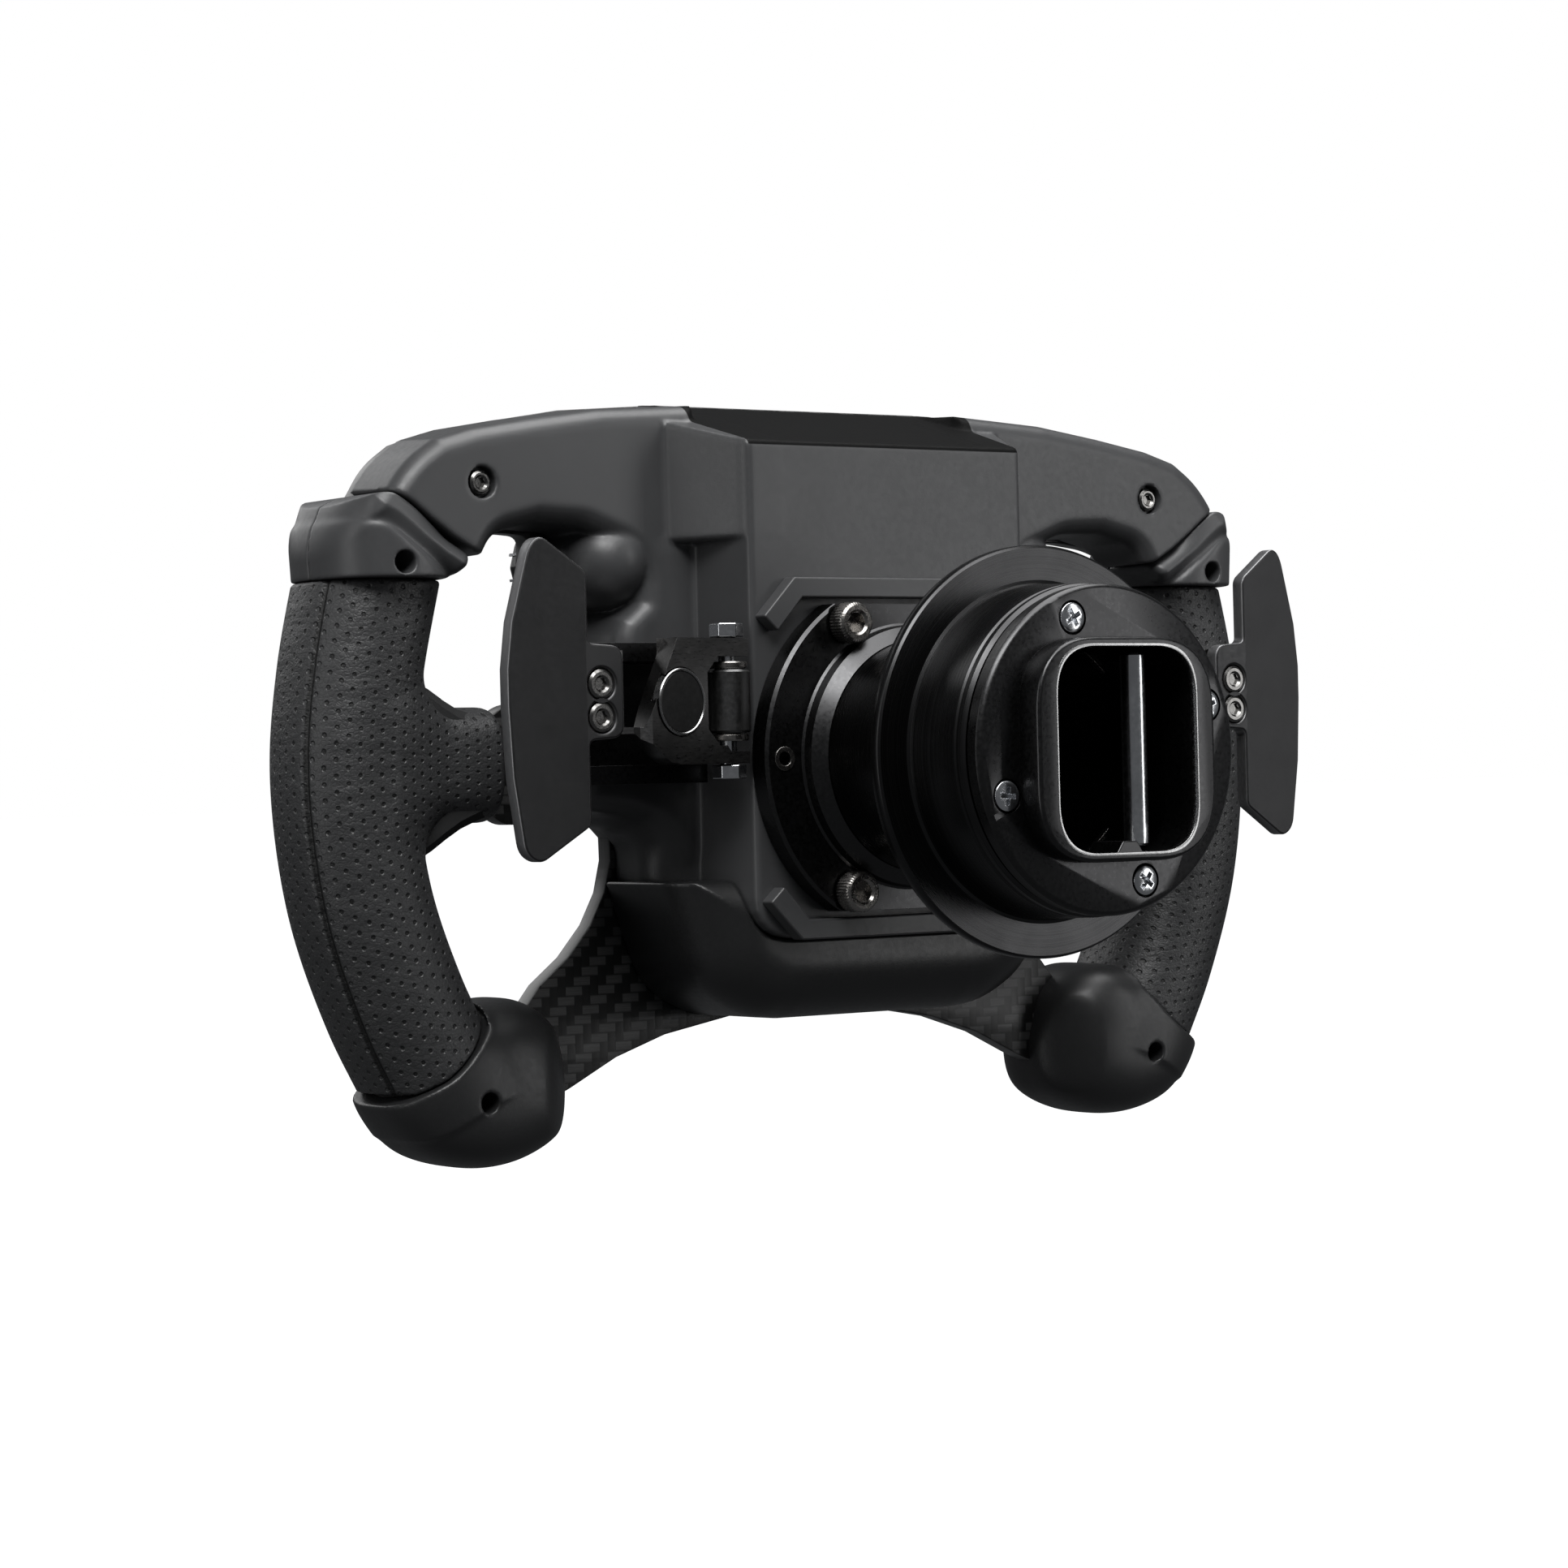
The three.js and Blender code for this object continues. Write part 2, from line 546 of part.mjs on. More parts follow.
// ---------------------------------------------------------------- screen, light bar and board

const BEZEL_BACK = PLATE_FRONT - GAP;
piece('display_module', screenGlass, joined(
  slab(frameShape(SCREEN, 0, 3), BEZEL_BACK - 2.6, BEZEL_BACK, { bevel: 0.8 }),
  slab(frameShape(SCREEN, 3.3, 1), BEZEL_BACK - 1, PLATE_BACK + 3),
));
piece('shift_light_bar', blackPlastic, joined(
  slab(frameShape(LIGHT_BAR, 0, 2), BEZEL_BACK - 2.4, BEZEL_BACK, { bevel: 0.7 }),
  box(-LIGHT_BAR.halfWidth + 2.3, LIGHT_BAR.halfWidth - 2.3, BEZEL_BACK - 1, PLATE_BACK - 0.5,
    LIGHT_BAR.low + 2.3, LIGHT_BAR.high - 2.3),
));
const BOARD_Y = PLATE_BACK + 13;
const boardShape = outline(bothSides([[36, 66, 3], [36, -34, 3]]));
boardShape.holes.push(circle(0, 0, 6));
piece('main_board', board, joined(
  slab(boardShape, BOARD_Y, BOARD_Y + 1.6),
  box(-12, 12, BOARD_Y + 1.5, BOARD_Y + 4, 28, 44),
  box(-26, -16, BOARD_Y + 1.5, BOARD_Y + 6, -28, -18),
  box(14, 28, BOARD_Y + 1.5, BOARD_Y + 5, -26, -20),
));

// ---------------------------------------------------------------- driver's side controls

for (const [name, side] of [['right', 1], ['left', -1]]) {
  const knobBack = PLATE_FRONT - 1;
  const knob = turned([
    [3, knobBack + 9], [3, knobBack], [KNOB.radius, knobBack], [KNOB.radius, knobBack - KNOB.length + 2.2],
    [KNOB.radius - 2, knobBack - KNOB.length], [0, knobBack - KNOB.length], [0, knobBack + 9],
  ], 20);
  const pointer = box(-0.7, 0.7, knobBack - KNOB.length - 1, knobBack - KNOB.length + 0.8, 2, 8.6);
  const mount = new THREE.Group();
  mount.position.set(side * KNOB.x, 0, KNOB.z);
  wheel.add(mount);
  piece(`rotary_knob_${name}`, blackPlastic, cut(solid(knob), pointer), mount);

  const alongX = (radius, length, sides) =>
    new THREE.CylinderGeometry(radius, radius, length, sides).rotateZ(Math.PI / 2);
  const roller = alongX(ENCODER.radius, ENCODER.width, 16);
  const axle = alongX(1.4, ENCODER.width + 3, 10);
  const grooves = Array.from({ length: 6 }, (_, i) =>
    box(-1.6, 1.6, ENCODER.radius - 0.9, ENCODER.radius + 1, -0.8, 0.8).rotateX((i / 6) * Math.PI * 2));
  const encoder = piece(`thumb_encoder_${name}`, blackPlastic, cut(joined(roller, axle), ...grooves));
  encoder.position.set(side * ENCODER.x, ENCODER.y, ENCODER.z);

  BUTTONS.forEach(([x, z], i) => {
    const capFront = PLATE_FRONT - 4.5;
    const button = turned([
      [0, PLATE_BACK + 5], [4, PLATE_BACK + 5], [4, PLATE_BACK - 0.9], [BUTTON_RADIUS, PLATE_BACK - 0.9],
      [BUTTON_RADIUS, capFront + 0.8], [BUTTON_RADIUS - 0.9, capFront], [0, capFront],
    ], 14);
    const mesh = piece(`push_button_${name}_${i + 1}`, [greyCap, redCap, blackPlastic][i], button);
    mesh.position.set(side * x, 0, z);
  });

  const toggle = turned([
    [0, -16], [1.7, -16], [2.3, -14.5], [1.4, -4], [1.4, -2.6], [3.2, -1.2], [3.4, 0], [3, 2], [0, 3],
  ], 12);
  const lever = piece(`toggle_switch_${name}`, brightZinc, toggle);
  lever.position.set(side * TOGGLE.x, PLATE_FRONT + 2, TOGGLE.z);
}

// ---------------------------------------------------------------- quick-release hub

/** The bolted flange: a disc with two flats, a chamfered boss and a wire hole. */
function hubFlange() {
  const disc = turned([
    [9, BOX_BACK + GAP], [40, BOX_BACK + GAP], [40, FLANGE_BACK - 0.8], [39.2, FLANGE_BACK],
    [30.2, FLANGE_BACK], [28.4, FLANGE_BACK + 2.6], [HUB_TUBE_RADIUS, FLANGE_BACK + 5], [9, FLANGE_BACK + 5],
  ], 32);
  const flats = [-50, 34.7].map((low) => box(-30, 30, BOX_BACK - 1, FLANGE_BACK + 1, low, low + 15.3));
  const boltHoles = boltPlaces().map(([x, z]) =>
    rod(2.8, BOX_BACK - 1, FLANGE_BACK + 1, 10).translate(x, 0, z));
  const inserts = [35, -35].map((x) => rod(1.4, FLANGE_BACK - 3, FLANGE_BACK + 1, 8).translate(x, 0, 0));
  return cut(solid(disc), ...flats, ...boltHoles, ...inserts);
}

function boltPlaces() {
  return [30, 150, 210, 330].map((degrees) => {
    const angle = (degrees * Math.PI) / 180;
    return [(BOLT_CIRCLE / 2) * Math.sin(angle), (BOLT_CIRCLE / 2) * Math.cos(angle)];
  });
}

piece('hub_flange', anodised, hubFlange());
boltPlaces().forEach(([x, z], i) => {
  const bolt = piece(`hub_bolt_${i + 1}`, darkNickel, socketScrew(4.25, 4.8, 2.5, 4.6, 2.4));
  bolt.position.set(x, FLANGE_BACK + GAP + 4.8, z);
});

const TUBE_BACK = FLANGE_BACK + 65.6;
const TUBE_FRONT = FLANGE_BACK + 5 + GAP;
const RETAINER_Y = FLANGE_BACK + 46.2;

function socketShape(size, shrink = 0) {
  const [x, z] = [size.width / 2 - shrink, size.height / 2 - shrink];
  return rectangle(-x, x, -z, z, size.corner * 1.35);
}

/** The hub's tube, with the socket cut deep into its rear end and a groove for the retaining ring. */
function hubTube() {
  const body = turned([
    [8, TUBE_FRONT], [HUB_TUBE_RADIUS, TUBE_FRONT], [HUB_TUBE_RADIUS, RETAINER_Y - GAP],
    [25, RETAINER_Y - GAP], [25, RETAINER_Y + 1.8], [HUB_TUBE_RADIUS, RETAINER_Y + 1.8],
    [HUB_TUBE_RADIUS, TUBE_BACK - 3.6], [33.6, TUBE_BACK - 3.6], [33.6, TUBE_BACK], [8, TUBE_BACK],
  ], 32);
  const cavity = slab(socketShape(SOCKET), -SOCKET.depth, 1, { curveSegments: 4 });
  const screwHoles = socketScrewPlaces().map(([x, z]) =>
    rod(1.9, TUBE_BACK - 5, TUBE_BACK + 1, 8).translate(x, 0, z));
  return cut(solid(body), cavity, ...screwHoles);
}

function socketScrewPlaces() {
  return [0, 90, 180, 270].map((turn) => {
    const angle = ((SOCKET_SCREW_START + turn) * Math.PI) / 180;
    return [SOCKET_SCREW_RADIUS * Math.sin(angle), SOCKET_SCREW_RADIUS * Math.cos(angle)];
  });
}

piece('hub_tube', anodised, hubTube());
piece('retaining_ring', darkNickel, turned([
  [25 + GAP, RETAINER_Y], [31.2, RETAINER_Y], [31.2, RETAINER_Y + 1.5], [25 + GAP, RETAINER_Y + 1.5],
], 32));

/** The sliding collar: a brushed disc, a slightly tapered barrel, a groove and a polished rear ring. */
const SLEEVE_BORE = HUB_TUBE_RADIUS + 0.4;
const SLEEVE_BACK = FLANGE_BACK + 61.6;
piece('lock_sleeve', anodised, turned([
  [31.8, FLANGE_BACK + 45], [44.7, FLANGE_BACK + 45], [45.3, FLANGE_BACK + 45.6],
  [45.3, FLANGE_BACK + 47.6], [44.7, FLANGE_BACK + 48.2], [36.5, FLANGE_BACK + 48.2],
  [35.9, TUBE_BACK], [34.2, TUBE_BACK], [34.2, SLEEVE_BACK],
  [SLEEVE_BORE, SLEEVE_BACK], [SLEEVE_BORE, SLEEVE_BACK - 2.4], [31.8, SLEEVE_BACK - 2.4],
], 40));

/** The return spring, between the retaining ring and the collar's inner rim. */
function lockSpring() {
  const [low, high] = [RETAINER_Y + 1.5 + GAP, SLEEVE_BACK - 2.4 - GAP];
  const [wire, turns, radius] = [0.7, 3.5, 29.3];
  const perTurn = 12;
  const coil = Array.from({ length: turns * perTurn + 1 }, (_, i) => {
    const angle = (i / perTurn) * Math.PI * 2;
    const rise = low + wire + ((high - low - 2 * wire) * i) / (turns * perTurn);
    return new THREE.Vector3(radius * Math.cos(angle), rise, radius * Math.sin(angle));
  });
  return new THREE.ExtrudeGeometry(circle(0, 0, wire, 6), {
    extrudePath: new THREE.CatmullRomCurve3(coil), steps: turns * perTurn, bevelEnabled: false,
  });
}
piece('lock_spring', brightZinc, lockSpring());

/** The end plate with the rounded socket ring that the wheelbase's shaft enters, keyed at the bottom. */
function socketPlate() {
  const plateBack = FLANGE_BACK + 70.5;
  const disc = turned([
    [0, TUBE_BACK + GAP], [34.9, TUBE_BACK + GAP], [35.7, TUBE_BACK + 1.2], [35.7, plateBack - 0.9],
    [34.8, plateBack], [0, plateBack],
  ], 32);
  const ring = slab(socketShape(RING), plateBack - 1, 0, { curveSegments: 4 });
  const key = slab(outline([[-4.4, -23], [4.4, -23], [2, -19.6], [-2, -19.6]]), TUBE_BACK + 1, 0);
  const screwHoles = socketScrewPlaces().flatMap(([x, z]) => [
    rod(3.7, plateBack - 1.8, plateBack + 1, 12).translate(x, 0, z),
    rod(2, TUBE_BACK - 1, plateBack + 1, 8).translate(x, 0, z),
  ]);
  return cut(joined(disc, ring), slab(socketShape(SOCKET), TUBE_BACK - 1, 1, { curveSegments: 4 }))
    .add(solid(key)).subtract(joined(...screwHoles));
}
piece('socket_plate', anodised, socketPlate());
socketScrewPlaces().forEach(([x, z], i) => {
  const cap = piece(`socket_screw_${i + 1}`, brightZinc, screw(3.4, 1.9, 1.6, 5.6, 1.1, { segments: 14 }));
  cap.position.set(x, FLANGE_BACK + 70.5 + 0.5, z);
});
const { x: pinX, y: pinY, radius: pinRadius, reach: pinReach } = LATCH_PIN;
piece('latch_pin', brightZinc, post(pinRadius, pinX, pinY, -pinReach, pinReach, 16));
piece('contact_block', blackPlastic, joined(
  box(16.4, 19, -16, -9, -8, 5),
  new THREE.SphereGeometry(2.1, 10, 6).translate(16.6, -12, 3.6),
));

// ---------------------------------------------------------------- shift paddles

/** An outline seen from above, [x, y], made solid from z0 to z1. */
function planSlab(points, z0, z1) {
  const shape = new THREE.Shape(points.map(([x, y]) => new THREE.Vector2(x, y)));
  return new THREE.ExtrudeGeometry(shape, { depth: z1 - z0, bevelEnabled: false }).translate(0, 0, z0);
}

const EAR_RADIUS = 4.2;
const BARREL = { radius: 4.3, low: 6.4, high: 19.8 };
const PIN_RADIUS = 1.9;
const PIN_CLEARANCE = 0.25;
const LEVER_TILT = Math.atan2(7, 31);
const LEVER_ROOT = [PIVOT.x - EAR_RADIUS, FLANGE_BACK - 2];   // inner end of the lever's rear face
const faceY = (x) => LEVER_ROOT[1] + (x - LEVER_ROOT[0]) * Math.tan(LEVER_TILT);

/** The channel bolted beside the box; its barrel carries the pin. */
function paddleBracket() {
  const [front, back] = [ARM_BACK + GAP, FLANGE_BACK - 8.7];
  const wall = [[50, front], [83, front], [84.5, back - 6], [82, back], [50, back], [50, front + 6]];
  const bodies = joined(
    box(44.9, 80, front, front + 3, MODULE_LOW + 0.5, MODULE_HIGH - 0.5),
    planSlab(wall, MODULE_HIGH - 4.2, MODULE_HIGH),
    planSlab(wall, MODULE_LOW, MODULE_LOW + 4.2),
    box(44.9, 49.5, front, PIVOT.y, BARREL.low, BARREL.high),
    post(BARREL.radius, PIVOT.x, PIVOT.y, BARREL.low, BARREL.high, 20),
    post(2.8, PIVOT.x, PIVOT.y, BARREL.low - 1.4, BARREL.high + 1.4, 12),
  );
  return cut(bodies, post(PIN_RADIUS + PIN_CLEARANCE, PIVOT.x, PIVOT.y, -10, 40, 12));
}
pair('paddle_bracket', anodised, paddleBracket());

/** The brushed lever: two ears on the pin, a sloping plate, and a bent foot for the paddle. */
function paddleLever() {
  const profile = [
    [PIVOT.x - EAR_RADIUS, PIVOT.y], LEVER_ROOT, [73.5, faceY(73.5)], [76, faceY(73.5) - 1.2],
    [79.5, FLANGE_BACK + 6.5], [94, FLANGE_BACK + 6.5], [94, FLANGE_BACK + 3.2], [80, FLANGE_BACK + 2.6],
    [73, FLANGE_BACK - 1.4], [54, FLANGE_BACK - 5.2], [PIVOT.x + 3.2, PIVOT.y - 3],
    [PIVOT.x, PIVOT.y - EAR_RADIUS], [PIVOT.x - 3, PIVOT.y - 3],
  ];
  const seenFromBehind = outline([
    [41, -0.8], [68, -0.8, 3], [73.5, 4, 3], [79, 6, 1], [94, 6, 2],
    [94, 24, 2], [79, 24, 1], [72, 27, 3], [41, 27],
  ]);
  const opening = outline([[38, 1.9], [49, 1.9], [53.4, 7], [53.4, 18], [49, 22.1], [38, 22.1]]);
  const body = solid(planSlab(profile, -0.8, 27))
    .intersect(solid(slab(seenFromBehind, FLANGE_BACK - 20, FLANGE_BACK + 20)))
    .subtract(solid(slab(opening, FLANGE_BACK - 20, FLANGE_BACK + 20)));
  return cut(
    body,
    post(PIN_RADIUS + PIN_CLEARANCE, PIVOT.x, PIVOT.y, -10, 40, 12),
    onLeverFace(rod(MAGNET.radius + GAP, -MAGNET.sunk - GAP, 4, 32)),
    ...PADDLE_SCREWS.map(([x, z]) => rod(1.9, FLANGE_BACK, PADDLE_FRONT + 1, 12).translate(x, 0, z)),
  );
}

const MAGNET = { x: 64.5, z: 12.9, radius: 7.4, sunk: 1.6, proud: 0.5 };
const PADDLE_SCREWS = [[90.2, 16.7], [90.2, 9.6]];
const PADDLE_LEAN = (5 * Math.PI) / 180;

/** Places a body made about the Y axis on the lever's sloping face, at the magnet. */
function onLeverFace(geometry) {
  return geometry.rotateZ(LEVER_TILT).translate(MAGNET.x, faceY(MAGNET.x), MAGNET.z);
}
pair('paddle_lever', brushedSteel, paddleLever());
pair('paddle_magnet', darkNickel, onLeverFace(turned([
  [0, -MAGNET.sunk], [MAGNET.radius, -MAGNET.sunk], [MAGNET.radius, MAGNET.proud - 0.3],
  [MAGNET.radius - 0.3, MAGNET.proud], [0, MAGNET.proud],
], 32)));
pair('pivot_pin', darkNickel, joined(
  post(PIN_RADIUS, PIVOT.x, PIVOT.y, -2.5, 29, 12),
  post(3.9, PIVOT.x, PIVOT.y, 27.3, 30.4, 6),
  post(3.9, PIVOT.x, PIVOT.y, -4.2, -1.1, 6),
));

/** Sinks a thin plate by its lean: towards the driver as x grows past the tab. */
const leaned = (geometry) => mapped(geometry, (p) => {
  p.y -= Math.max(0, p.x - 94) * Math.tan(PADDLE_LEAN);
  return p;
});

const paddleOutline = outline([
  [93.4, 40.7, 1.5], [104.2, 48.4, 2], [107, 46.5, 3], [111.4, 30], [112.6, 20], [112.6, 12], [111.8, -3],
  [109.4, -19.2, 2.5], [105.8, -21.4, 2], [93.4, -13.5, 1.5],
  [93.4, 4.6, 1.5], [84.6, 5.2, 3], [84.6, 24.8, 3], [93.4, 25.4, 1.5],
]);
const paddleBody = () => leaned(slab(paddleOutline, PADDLE_FRONT, PADDLE_FRONT + PADDLE_THICK));
pair('shift_paddle', paddleMetal, cut(
  solid(paddleBody()),
  ...PADDLE_SCREWS.flatMap(([x, z]) => [
    rod(3.6, PADDLE_FRONT + PADDLE_THICK - 2, PADDLE_FRONT + 9, 20).translate(x, 0, z),
    rod(1.9, PADDLE_FRONT - 1, PADDLE_FRONT + 9, 12).translate(x, 0, z),
  ]),
));
PADDLE_SCREWS.forEach(([x, z], i) => {
  pair(`paddle_screw_${i + 1}`, darkNickel, toGeometry(socketScrew(3.3, 1.7, 1.6, 4.6, 1.6))
    .translate(x, PADDLE_FRONT + PADDLE_THICK + 0.1, z));
});

export default wheel;
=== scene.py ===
import math

import bmesh
import bpy
import numpy as np
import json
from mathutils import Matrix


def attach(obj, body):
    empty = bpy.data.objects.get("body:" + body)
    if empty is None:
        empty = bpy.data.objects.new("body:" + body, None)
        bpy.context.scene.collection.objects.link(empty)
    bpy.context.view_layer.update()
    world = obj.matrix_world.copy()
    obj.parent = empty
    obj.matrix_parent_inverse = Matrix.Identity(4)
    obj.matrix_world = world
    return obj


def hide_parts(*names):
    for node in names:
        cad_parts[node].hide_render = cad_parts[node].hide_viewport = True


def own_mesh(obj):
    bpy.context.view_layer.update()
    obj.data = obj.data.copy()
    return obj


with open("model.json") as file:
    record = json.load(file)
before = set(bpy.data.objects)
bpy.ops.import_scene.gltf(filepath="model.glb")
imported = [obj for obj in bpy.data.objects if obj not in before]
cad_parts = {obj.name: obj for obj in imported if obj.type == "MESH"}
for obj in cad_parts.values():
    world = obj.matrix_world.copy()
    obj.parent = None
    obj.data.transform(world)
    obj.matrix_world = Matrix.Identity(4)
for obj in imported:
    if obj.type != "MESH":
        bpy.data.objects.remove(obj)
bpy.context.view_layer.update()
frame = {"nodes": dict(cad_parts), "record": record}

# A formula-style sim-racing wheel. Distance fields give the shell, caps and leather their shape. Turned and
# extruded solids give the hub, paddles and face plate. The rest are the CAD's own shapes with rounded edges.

import openvdb
from mathutils import Matrix, Vector

RECORD = frame["record"]
BODY_OF = {n: b for b, members in RECORD["behaviour"]["bodies"].items() for n in members}
MM = 0.001

# Levels along the rotation axis, in millimetres. +Y points at the wheelbase.
FLANGE_BACK = -77.0
PLATE_BACK = FLANGE_BACK - 44.5
PLATE_FRONT = PLATE_BACK - 5.0
BOX_BACK = FLANGE_BACK - 5.7
ARM_BACK = FLANGE_BACK - 25.6
BOX_ROOT = PLATE_BACK + 0.3
GRIP_Y = FLANGE_BACK - 46.7
TUBE_BACK = FLANGE_BACK + 65.6
PLATE_END = FLANGE_BACK + 70.5
PADDLE_Y = FLANGE_BACK + 7.0

# Places in the wheel's plane on the +X side, as (x, z).
POD = (59, 45.5)
ARM_SCREW = (96.4, 62.3)
LOWER_CAP_HOLE = (96.5, -74.3)
ENCODER_X = 64
SIDES = (("right", 1), ("left", -1))

# ---------------- meshes


def new_object(name, mesh):
    thing = bpy.data.objects.new(name, mesh)
    bpy.context.scene.collection.objects.link(thing)
    return thing


def shade(mesh, angle=32):
    mesh.polygons.foreach_set("use_smooth", np.ones(len(mesh.polygons), bool))
    mesh.set_sharp_from_angle(angle=math.radians(angle))


def place(thing, node, material, replaced=()):
    """Gives a piece its material and makes it ride with its CAD node.

    By default it also stands for that node. It can stand for several, or for none with replaced=None.
    """
    thing.data.materials.clear()
    thing.data.materials.append(material)
    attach(thing, BODY_OF[node])
    names = replaced if replaced else ((node,) if replaced == () else ())
    if names:
        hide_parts(*names)
    return thing


def from_arrays(name, points, quads):
    mesh = bpy.data.meshes.new(name)
    mesh.vertices.add(len(points))
    mesh.vertices.foreach_set("co", (points * MM).astype(np.float32).ravel())
    mesh.loops.add(quads.size)
    mesh.loops.foreach_set("vertex_index", quads.astype(np.int32).ravel())
    mesh.polygons.add(len(quads))
    mesh.polygons.foreach_set("loop_start", np.arange(0, quads.size, 4, dtype=np.int32))
    mesh.update(calc_edges=True)
    mesh.validate()
    shade(mesh, 60)
    return new_object(name, mesh)


def flip(mesh):
    """Turns a mesh into its mirror image across the middle plane."""
    work = bmesh.new()
    work.from_mesh(mesh)
    bmesh.ops.scale(work, vec=(-1, 1, 1), verts=work.verts)
    bmesh.ops.reverse_faces(work, faces=work.faces)
    work.to_mesh(mesh)
    work.free()


def slice_at(work, x, **settings):
    """Cuts a bmesh along the plane at x."""
    parts = work.verts[:] + work.edges[:] + work.faces[:]
    bmesh.ops.bisect_plane(work, geom=parts, plane_co=(x * MM, 0, 0), plane_no=(1, 0, 0), **settings)


def mirrored(thing, name):
    """A mirror image of a right-hand piece, for the left."""
    mesh = thing.data.copy()
    mesh.name = name
    flip(mesh)
    twin = new_object(name, mesh)
    for modifier in thing.modifiers:
        if modifier.type == "BEVEL":
            soften(twin, modifier.width / MM, modifier.segments)
    return twin


def soften(thing, width, segments=2, angle=32):
    """Rounds every sharp edge by a small width."""
    edge = thing.modifiers.new("edge", "BEVEL")
    edge.width = width * MM
    edge.segments = segments
    edge.limit_method = "ANGLE"
    edge.angle_limit = math.radians(angle)
    edge.harden_normals = True
    edge.use_clamp_overlap = True
    return thing


# ---------------- distance fields


class Room:
    """A block of space, sampled every step millimetres."""

    def __init__(self, low, high, step):
        self.low, self.step = np.array(low, float), step
        count = [int(math.ceil((h - a) / step)) + 1 for a, h in zip(low, high)]
        axes = [a + step * np.arange(n, dtype=np.float32) for a, n in zip(low, count)]
        self.x = axes[0][:, None, None].astype(np.float32)
        self.y = axes[1][None, :, None].astype(np.float32)
        self.z = axes[2][None, None, :].astype(np.float32)
        self.shape = tuple(count)

    def off(self, spot):
        """Distance from a line along y through (x, z)."""
        return np.hypot(self.x - spot[0], self.z - spot[1])

    def mesh(self, name, field):
        """The surface where the field is zero; the field is negative inside."""
        block = np.broadcast_to(field, self.shape).astype(np.float32).copy()
        for axis in range(3):
            edge = [slice(None)] * 3
            for end in (0, -1):
                edge[axis] = end
                block[tuple(edge)] = np.maximum(block[tuple(edge)], 0.4 * self.step)
        grid = openvdb.FloatGrid(3 * self.step)
        grid.copyFromArray(block)
        points, quads = grid.convertToQuads(isovalue=0.0)
        points = points * self.step + self.low
        a, b, c, d = (points[quads[:, k]] for k in range(4))
        volume = sum(np.einsum("ij,ij->i", a, np.cross(*pair)).sum() for pair in ((b, c), (c, d)))
        if volume < 0:
            quads = quads[:, ::-1]
        return from_arrays(name, points, quads)


def meet(a, b, r=0.0):
    """Intersection, its edge rounded to radius r."""
    if r == 0:
        return np.maximum(a, b)
    u, v = np.maximum(a + r, 0), np.maximum(b + r, 0)
    return np.minimum(-r, np.maximum(a, b)) + np.sqrt(u * u + v * v)


def join(a, b, r=0.0):
    """Union, its crease filled to radius r."""
    return -meet(-a, -b, r)


def carve(a, b, r=0.0):
    return meet(a, -b, r)


def flat_distance(points, x, z):
    """Signed distance to a closed outline in the wheel's plane, negative inside."""
    nearest = np.full(np.broadcast(x, z).shape, 1e9, np.float32)
    inside = np.zeros(nearest.shape, bool)
    for (ax, az), (bx, bz) in zip(points, points[1:] + points[:1]):
        ex, ez = bx - ax, bz - az
        length = ex * ex + ez * ez
        if length < 1e-9:
            continue
        t = np.clip(((x - ax) * ex + (z - az) * ez) / length, 0, 1)
        nearest = np.minimum(nearest, (x - ax - ex * t) ** 2 + (z - az - ez * t) ** 2)
        if az != bz:
            inside ^= ((az > z) != (bz > z)) & (x < ex * (z - az) / ez + ax)
    return np.where(inside, -1, 1) * np.sqrt(nearest)


def rounded(points, samples=6):
    """An outline with its corners eased: each point is (x, z) or (x, z, radius)."""
    out = []
    for i, p in enumerate(points):
        here = Vector(p[:2])
        radius = p[2] if len(p) > 2 else 0
        if not radius:
            out.append((here.x, here.y))
            continue
        ends = []
        for q in (points[i - 1], points[(i + 1) % len(points)]):
            way = Vector(q[:2]) - here
            ends.append(here + way.normalized() * min(radius, way.length * 0.49))
        for k in range(samples + 1):
            t = k / samples
            p2 = ends[0] * (1 - t) ** 2 + here * 2 * t * (1 - t) + ends[1] * t * t
            out.append((p2.x, p2.y))
    return out


def mirror_points(points):
    return [(-p[0], *p[1:]) for p in reversed(points)]


def both_sides(points):
    return list(points) + mirror_points(points)


def between(v, low, high):
    return np.maximum(low - v, v - high)


# ---------------- the grip's centre line

GRIP_POINTS = [(112.8, 48), (119.2, 20), (121.3, -2), (118, -29), (109.9, -52), (102.2, -67)]
GRIP_WIDE, GRIP_DEEP, GRIP_SQUARE = 15.0, 16.8, 2.3   # half width, half depth, and how full its corners are


